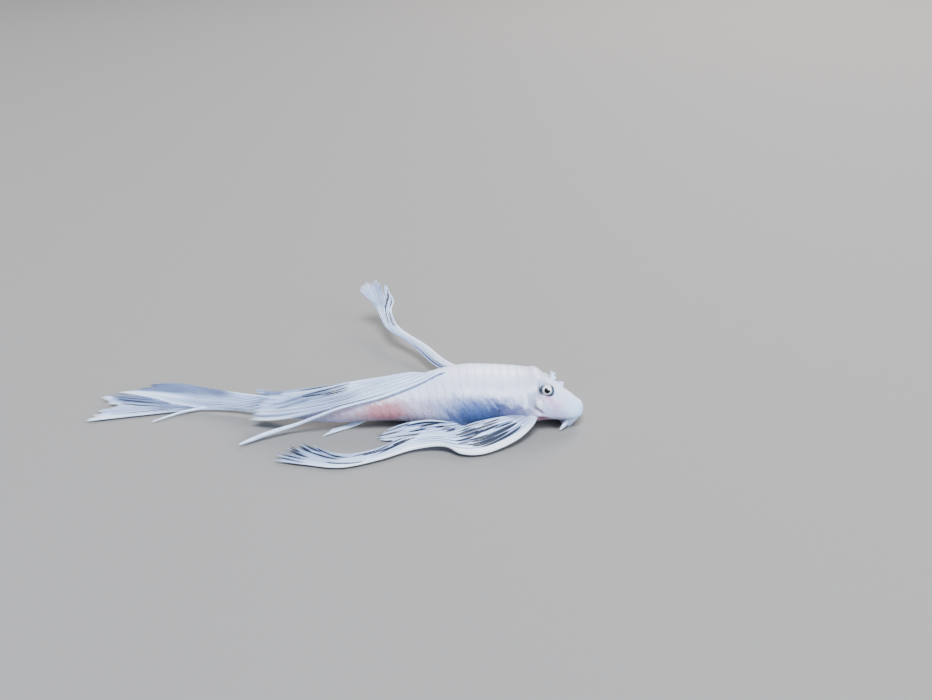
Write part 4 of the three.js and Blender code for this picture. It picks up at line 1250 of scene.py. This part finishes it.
pectoralRight = {
    **finBase,
    "rays": 9, "columns": 210, "rows": 190, "reach": [1, 0.985, 1, 0.97, 0.99, 0.96, 0.98, 0.95, 0.97],
    "camber": 0.5, "branch": (0.44, 0.66), "spineWidth": 0.75, "rootThick": 1.1, "rayShare": 0.33,
    "shade": 0.2, "slitScale": 2.2, "rootLong": (0.07, 0.2),
    "slits": [
        (0.26, 0.14, 0.19, 0.30, 0.34), (0.32, 0.20, 0.26, 0.335, 0.46), (0.35, 0.25, 0.29, 0.36, 0.24),
        (0.425, 0.14, 0.385, 0.335, 0.46), (0.51, 0.15, 0.525, 0.24, 0.24),
        (0.45, 0.265, 0.43, 0.345, 0.26), (0.59, 0.21, 0.57, 0.31, 0.34),
        (0.575, 0.275, 0.42, 0.41, 0.36), (0.67, 0.21, 0.69, 0.34, 0.34), (0.69, 0.29, 0.655, 0.40, 0.34),
        (0.62, 0.27, 0.56, 0.38, 0.24), (0.64, 0.285, 0.57, 0.39, 0.24), (0.81, 0.18, 0.77, 0.26, 0.28),
        (0.82, 0.31, 0.83, 0.38, 0.28), (0.40, 0.335, 0.35, 0.40, 0.2), (0.75, 0.29, 0.74, 0.37, 0.2),
        (0.90, 0.24, 0.92, 0.35, 0.2), (0.94, 0.54, 0.97, 0.63, 0.34), (0.67, 0.565, 0.65, 0.65, 0.28),
        (0.96, 0.555, 0.865, 0.65, 0.3), (0.865, 0.63, 0.75, 0.77, 0.3), (0.52, 0.61, 0.68, 0.74, 0.3),
        (0.60, 0.58, 0.44, 0.72, 0.26), (0.70, 0.76, 0.93, 0.92, 0.3), (0.63, 0.80, 0.60, 0.92, 0.34),
        (0.60, 0.89, 0.68, 0.96, 0.4), (0.47, 0.92, 0.59, 1.0, 0.4), (0.35, 0.89, 0.47, 0.97, 0.34),
        (0.07, 0.90, 0.15, 1.0, 0.34), (0.22, 0.90, 0.28, 1.0, 0.34), (0.80, 0.88, 0.84, 1.0, 0.4),
        (0.17, 0.74, 0.3, 0.84, 0.22),
    ],
    "bands": [
        (0.55, 0.02, 0.6, 0.14, 0.4, 0.6), (1.0, 0.0, 1.0, 0.13, 0.28, 0.9),
        (0.02, 0.06, 0.05, 0.86, 0.16, -0.8), (0.5, 0.46, 0.45, 0.58, 0.22, 0.3),
        (0.75, 0.42, 0.6, 0.6, 0.12, -0.5), (0.7, 0.60, 0.85, 0.95, 0.18, 0.3),
        (0.3, 0.9, 0.3, 1.0, 0.5, 0.35), (0.55, 0.72, 0.55, 1.1, 0.7, 0.3),
    ],
    "guides": [
        [[16.6, -7.2, 4.2], [15.0, -10.4, 3.0], [11.0, -14.6, 1.6], [3.5, -19.0, 0.8], [-1.1, -19.3, 1.1],
         [-4.6, -17.3, 1.7], [-11, -17.3, 1.1], [-18.9, -21.5, 0.8], [-26.8, -24.4, 0.7],
         [-34.6, -23.1, 0.7], [-42, -21.4, 0.7]],
        [[15.0, -7.3, 4.6], [13.4, -9.6, 4.0], [9.6, -12.6, 3.0], [3.0, -16.3, 1.9], [-1.8, -17.0, 1.8],
         [-6, -15.8, 1.9], [-12, -15.9, 1.3], [-19, -20.3, 0.9], [-27, -23.0, 0.9], [-34.6, -20.6, 0.8],
         [-42.6, -17.2, 0.8]],
        [[13.4, -7.5, 4.9], [11.2, -9.3, 4.7], [7.6, -10.9, 4.3], [2.0, -13.2, 3.2], [-2.4, -14.4, 2.5],
         [-7.4, -14.0, 2.2], [-13, -14.6, 1.6], [-19.4, -18.9, 1.0], [-27, -21.6, 1.0], [-33.6, -18.2, 0.9],
         [-39.4, -13.2, 0.9]],
        [[11.8, -7.8, 5.0], [9.4, -9.1, 5.0], [5.8, -9.9, 4.7], [1.0, -11.0, 4.0], [-2.8, -12.4, 2.9],
         [-8.4, -12.6, 2.4], [-14, -13.6, 1.8], [-19.8, -17.4, 1.2], [-26.0, -19.3, 1.1],
         [-31.2, -17.4, 1.0], [-35.4, -13.2, 1.0]],
    ],
}

pectoralLeft = {
    **finBase,
    "rays": 8, "columns": 180, "rows": 170, "reach": [0.95, 1, 0.97, 1, 1, 0.97, 1, 0.97],
    "splits": [(0.37, 0.15, 0.03)], "spineWidth": 0.6, "rootThick": 1.1, "pleat": 0.04, "branch": (0.5, 0.7),
    "shade": 0.4,
    "slits": [
        (0.80, 0.15, 0.86, 0.40, 0.34), (0.60, 0.18, 0.68, 0.38, 0.26), (0.30, 0.53, 0.22, 0.67, 0.4),
        (0.55, 0.55, 0.42, 0.74, 0.3), (0.42, 0.70, 0.20, 0.88, 0.34), (0.30, 0.78, 0.06, 0.92, 0.3),
        (0.14, 0.70, 0.10, 0.84, 0.24),
    ],
    "bands": [
        (0.2, 0.16, 0.2, 0.5, 0.3, -0.5), (0.1, 0.52, 0.1, 0.68, 0.2, 0.5),
        (0.9, 0.5, 0.9, 0.7, 0.2, -0.5), (0.6, 0.72, 0.6, 1.0, 0.4, 0.5),
    ],
    "guides": [
        [[16.6, 6.4, 3.8], [12.4, 11.0, 3.5], [4.6, 16.4, 3.2], [-3.5, 21.3, 3.4], [-10.5, 31.2, 4.2],
         [-17.5, 39.2, 5.4], [-19.4, 42.8, 6.4], [-20.5, 47.7, 7.6], [-20.0, 50.3, 8.8],
         [-21.6, 54.2, 10.4], [-22.5, 56.7, 12.0]],
        [[15.2, 6.6, 4.0], [11.2, 10.4, 3.8], [3.4, 15.7, 3.4], [-4.7, 20.7, 3.4], [-11.9, 31.2, 4.3],
         [-18.7, 38.8, 5.5], [-20.6, 42.7, 6.6], [-21.7, 47.6, 7.8], [-22.1, 50.7, 9.1],
         [-22.9, 53.7, 10.6], [-23.4, 55.2, 12.1]],
        [[13.8, 6.8, 4.0], [10.0, 9.9, 3.7], [2.2, 15.0, 3.3], [-5.9, 20.4, 3.3], [-13.3, 31.6, 4.2],
         [-20.0, 38.8, 5.5], [-21.9, 43.3, 6.5], [-23.2, 48.5, 7.7], [-24.4, 51.4, 9.1],
         [-25.7, 55.1, 10.7], [-26.7, 60.3, 12.3]],
        [[12.4, 7.0, 3.8], [8.8, 9.4, 3.4], [0.9, 14.5, 3.0], [-7.1, 20.3, 3.0], [-14.7, 32.3, 4.0],
         [-21.2, 39.4, 5.2], [-23.2, 44.3, 6.2], [-25.0, 49.3, 7.4], [-27.0, 51.4, 8.8],
         [-29.0, 52.9, 10.0], [-30.7, 53.7, 11.2]],
    ],
}


pelvicLines = [
    [[2.2, -6.6, 1.6], [-1.6, -9.6, 1.0], [-6.4, -11.4, 0.7], [-12.0, -12.4, 0.6], [-17.6, -13.0, 0.6]],
    [[0.6, -6.8, 1.7], [-3.2, -9.1, 1.7], [-8.0, -10.0, 1.4], [-14.2, -10.9, 1.0], [-21.2, -11.9, 0.6]],
    [[-1.2, -6.8, 1.8], [-4.8, -9.4, 3.7], [-9.6, -9.3, 4.0], [-14.6, -9.3, 2.9], [-20.2, -10.7, 1.0]],
]


def pelvicFin(side):
    out = lambda p: [p[0], p[1] if side < 0 else -p[1] - 0.6, p[2]]
    return {
        **finBase,
        "rays": 6, "rows": 90, "columns": 120, "reach": [0.94, 1, 0.97, 1, 0.96, 0.92],
        "spineWidth": 0.25, "spineThick": 0.2, "branch": (0.3, 0.55), "jag": 0.06, "slitScale": 1.8,
        "slits": [
            (0.40, 0.22, 0.29, 0.36, 0.45), (0.58, 0.26, 0.50, 0.38, 0.3), (0.72, 0.30, 0.66, 0.42, 0.3),
            (0.86, 0.34, 0.74, 0.58, 0.34), (0.93, 0.25, 0.86, 0.72, 0.3), (0.66, 0.52, 0.60, 0.70, 0.24),
            (0.94, 0.66, 0.86, 0.9, 0.26), (0.45, 0.6, 0.40, 0.92, 0.26), (0.72, 0.72, 0.66, 0.97, 0.26),
            (0.22, 0.55, 0.2, 0.9, 0.24),
        ],
        "guides": [[out(point) for point in line] for line in pelvicLines],
    }


def onBody(*places):
    return [bodyPoint(*place).tolist() for place in places]


dorsalBase = onBody((30.4, 92, -0.6), (33, 101, 0.7), (38, 116, 0.8))
dorsalSpine = dorsalBase + onBody((46, 134, 0.85), (55.5, 153, 1.1)) + [
    [-38.2, -8.6, 2.5], [-44.6, -11.0, 1.4], [-50.4, -14.8, 0.7]]
dorsalFin = {
    **finBase,
    "rays": 8, "columns": 170, "rows": 150, "reach": [0.99, 0.97, 0.96, 0.98, 0.95, 0.94, 0.97, 1],
    "splits": [(0.8, 0.1, 0.025)], "spineWidth": 0, "rootThick": 1.0, "pleat": 0.06, "ripple": 0.25,
    "shade": 0.6, "branch": (0.3, 0.6),
    "slits": [
        (0.88, 0.42, 0.78, 0.70, 0.34), (0.72, 0.46, 0.68, 0.61, 0.28), (0.68, 0.59, 0.75, 0.70, 0.24),
        (0.63, 0.48, 0.63, 0.61, 0.24), (0.78, 0.90, 0.84, 1.0, 0.24), (0.96, 0.45, 0.95, 0.7, 0.22),
        (0.06, 0.40, 0.05, 0.60, 0.24),
    ],
    "bands": [
        (0.61, 0.66, 0.41, 0.84, 0.05, 0.7), (0.74, 0.70, 0.53, 0.88, 0.05, 0.65),
        (0.18, 0.70, 0.13, 0.95, 0.05, 0.8), (0.45, 0.3, 0.4, 0.62, 0.25, 0.3),
        (0.62, 0.50, 0.72, 0.80, 0.16, 0.5), (0.3, 0.45, 0.3, 0.8, 0.08, 0.4),
        (0.03, 0.72, 0.06, 1.0, 0.07, -0.7), (0.92, 0.3, 0.9, 0.8, 0.05, -0.3),
        (0.3, 0.68, 0.3, 0.95, 0.1, -0.4), (0.93, 0.80, 0.92, 0.92, 0.07, 1.0),
        (0.82, 0.88, 0.86, 1.0, 0.06, 0.9), (0.8, 0.45, 0.75, 0.7, 0.05, 0.6),
    ],
    "guides": [
        dorsalBase + onBody((46, 132, 0.9), (55, 147, 1.2))
        + [[-38.2, -8.1, 4.0], [-44.4, -7.4, 2.8], [-50.6, -5.2, 1.7]],
        onBody((33.4, 91, -0.6), (36.4, 96, 1.0), (42, 105, 1.4), (50, 119, 1.6), (56, 134, 1.8))
        + [[-38.2, -7.8, 6.0], [-44.0, -6.4, 4.6], [-51.0, -4.0, 3.4]],
        onBody((36.4, 90, -0.6), (39.4, 91, 1.7), (45.5, 97, 2.4), (52, 105, 2.5), (57.5, 116, 2.6))
        + [[-38.0, -6.6, 7.6], [-43.8, -5.4, 6.6], [-50.6, -2.6, 5.6]],
        onBody((40.0, 89, -0.6), (43, 88, 1.6), (49, 88, 2.6), (54.5, 93, 3.0), (59.0, 99, 3.2))
        + [[-38.6, -4.6, 9.3], [-43.8, -3.6, 8.3], [-48.6, -3.0, 8.9]],
    ],
}

adiposeFin = {
    **finBase,
    "rays": 3, "rows": 30, "columns": 40, "reach": [1, 0.92, 0.8], "notch": 0.02, "jag": 0, "spineWidth": 0.2,
    "rootThick": 0.6,
    "guides": [onBody((50.6, 84, 0), (53.0, 80, 0.9), (55.6, 76, 1.2)),
               onBody((52.6, 84, 0), (53.8, 80, 0.6), (55.6, 78, 0.7))],
}

analFin = {
    **finBase,
    "rays": 5, "rows": 60, "columns": 80, "reach": [1, 0.93, 0.86, 0.8, 0.74], "notch": 0.06,
    "spineWidth": 0.18, "spineThick": 0.1, "rootThick": 0.45, "pleat": 0.03,
    "guides": [[[-22.6, -3.8, 0.95], [-25.4, -5.6, 0.45], [-29.0, -8.0, 0.4], [-32.6, -10.6, 0.4]],
               [[-25.4, -4.2, 0.95], [-27.6, -5.4, 0.5], [-30.0, -6.8, 0.42], [-32.8, -8.6, 0.4]]],
}

caudalFin = {
    **finBase,
    "rays": 13, "rows": 150, "columns": 240,
    "reach": [0.97, 0.97, 0.94, 0.95, 0.93, 0.95, 0.955, 0.97, 0.99, 0.975, 0.97, 0.985, 1],
    "splits": [(0.22, 0.05, 0.02), (0.575, 0.08, 0.02), (0.79, 0.04, 0.03)], "notch": 0.025,
    "rootThick": 1.1, "spineWidth": 0.35, "pleat": 0.06, "ripple": 0.25, "branch": (0.25, 0.5),
    # the fold's lift, and the strength of its painted shadow and painted highlight
    "folds": [{"t": (0.62, 0.69, 0.78, 0.87, 1.0), "c": (0.96, 0.82, 0.63, 0.565, 0.50),
               "high": 0.5, "dark": 0.6, "bright": 0.9}],
    "slits": [
        (0.73, 0.76, 0.69, 0.92, 0.3), (0.81, 0.76, 0.76, 0.90, 0.26), (0.90, 0.72, 0.92, 0.92, 0.22),
        (0.65, 0.80, 0.66, 0.94, 0.22),
    ],
    "bands": [
        (0.08, 0.5, 0.20, 1.0, 0.27, 1.15), (0.33, 0.74, 0.355, 0.92, 0.06, 0.5),
        (0.74, 0.74, 0.71, 0.92, 0.07, 0.9), (0.46, 0.7, 0.46, 1.0, 0.07, -0.8),
        (0.92, 0.78, 0.92, 1.0, 0.12, -0.6), (0.7, 0.94, 0.7, 1.0, 0.06, -0.8),
        (0.8, 0.2, 0.85, 0.6, 0.2, -0.4), (0.86, 0.72, 0.88, 0.96, 0.04, 0.7),
        (0.95, 0.62, 0.96, 0.9, 0.04, 0.5),
    ],
    "guides": [
        [[-35.0, -5.0, 7.3], [-42.6, -2.8, 6.4], [-48.6, 0.2, 5.4], [-55.0, 3.2, 4.7], [-62.8, 6.4, 4.3],
         [-69.0, 8.6, 4.2], [-76.0, 8.8, 4.2]],
        [[-35.0, -5.1, 5.6], [-42.8, -3.4, 5.0], [-49.0, -0.8, 4.2], [-55.2, 1.6, 3.6], [-63.4, 4.4, 3.2],
         [-73.6, 7.2, 3.2], [-84.4, 8.0, 3.0]],
        [[-35.0, -5.1, 3.6], [-43.0, -3.2, 3.2], [-49.2, -0.6, 2.6], [-55.6, 1.0, 2.1], [-64.8, 2.8, 1.6],
         [-77.0, 4.9, 1.4], [-89.4, 7.3, 1.5]],
        [[-35.0, -5.1, 1.8], [-43.0, -2.8, 1.1], [-49.2, -0.4, 0.9], [-55.4, 1.2, 0.8], [-64.2, 1.6, 0.6],
         [-76.4, -0.8, 0.5], [-88.6, -3.9, 0.5]],
    ],
}


def finishFin(piece, *nodes):
    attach(piece, "root")
    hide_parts(*nodes)
    print(piece.name, len(piece.data.polygons), "faces")


def makeSpine(name, path, radius, tip, material, node):
    spine = addTube(name, path, radius, 20, 160, tip)
    count = len(spine.data.vertices)
    keepValue(spine, "ray", np.ones(count))
    for other in ("tone", "slit", "root"):
        keepValue(spine, other, np.zeros(count))
    points = readPoints(spine) / mm
    keepPlace(spine, "finPlace", np.stack([points[:, 1], -points[:, 0], np.zeros(count)], -1))
    spine.data.materials.append(material)
    finishFin(spine, node)


makeSkin()
makeCheekBristles()
makeEye(-1)
makeEye(1)
clearFin = makeFinMaterial("clearFinMembrane", thinness=0.45, shade=0.4, milky=0.0)
veilFin = makeFinMaterial("veiledFinMembrane", thinness=0.3, shade=0.75, milky=0.45)
finishFin(makeFinSheet("pectoralFinRight", pectoralRight, clearFin), "pectoral_fin_right")
finishFin(makeFinSheet("pectoralFinLeft", pectoralLeft, clearFin), "pectoral_fin_left")
finishFin(makeFinSheet("pelvicFinRight", pelvicFin(-1), clearFin), "pelvic_fin_right")
finishFin(makeFinSheet("pelvicFinLeft", pelvicFin(1), clearFin), "pelvic_fin_left")
finishFin(makeFinSheet("dorsalFin", dorsalFin, veilFin), "dorsal_fin")
spineRadii = [0.26, 0.24, 0.23, 0.26, 0.38, 0.52, 0.5]
makeSpine("dorsalSpine", dorsalSpine, spineRadii, 1.0, clearFin, "dorsal_fin")  # 1.0: no narrowing of its own
finishFin(makeFinSheet("adiposeFin", adiposeFin, veilFin), "adipose_fin")
finishFin(makeFinSheet("analFin", analFin, clearFin), "anal_fin")
finishFin(makeFinSheet("caudalFin", caudalFin, veilFin), "caudal_fin")
looseRay = [[-60.0, 2.6, 1.1], [-66.4, 0.6, 0.8], [-72.7, -3.9, 0.55]]
makeSpine("caudalLooseRay", looseRay, 0.42, 0.4, clearFin, "caudal_fin")
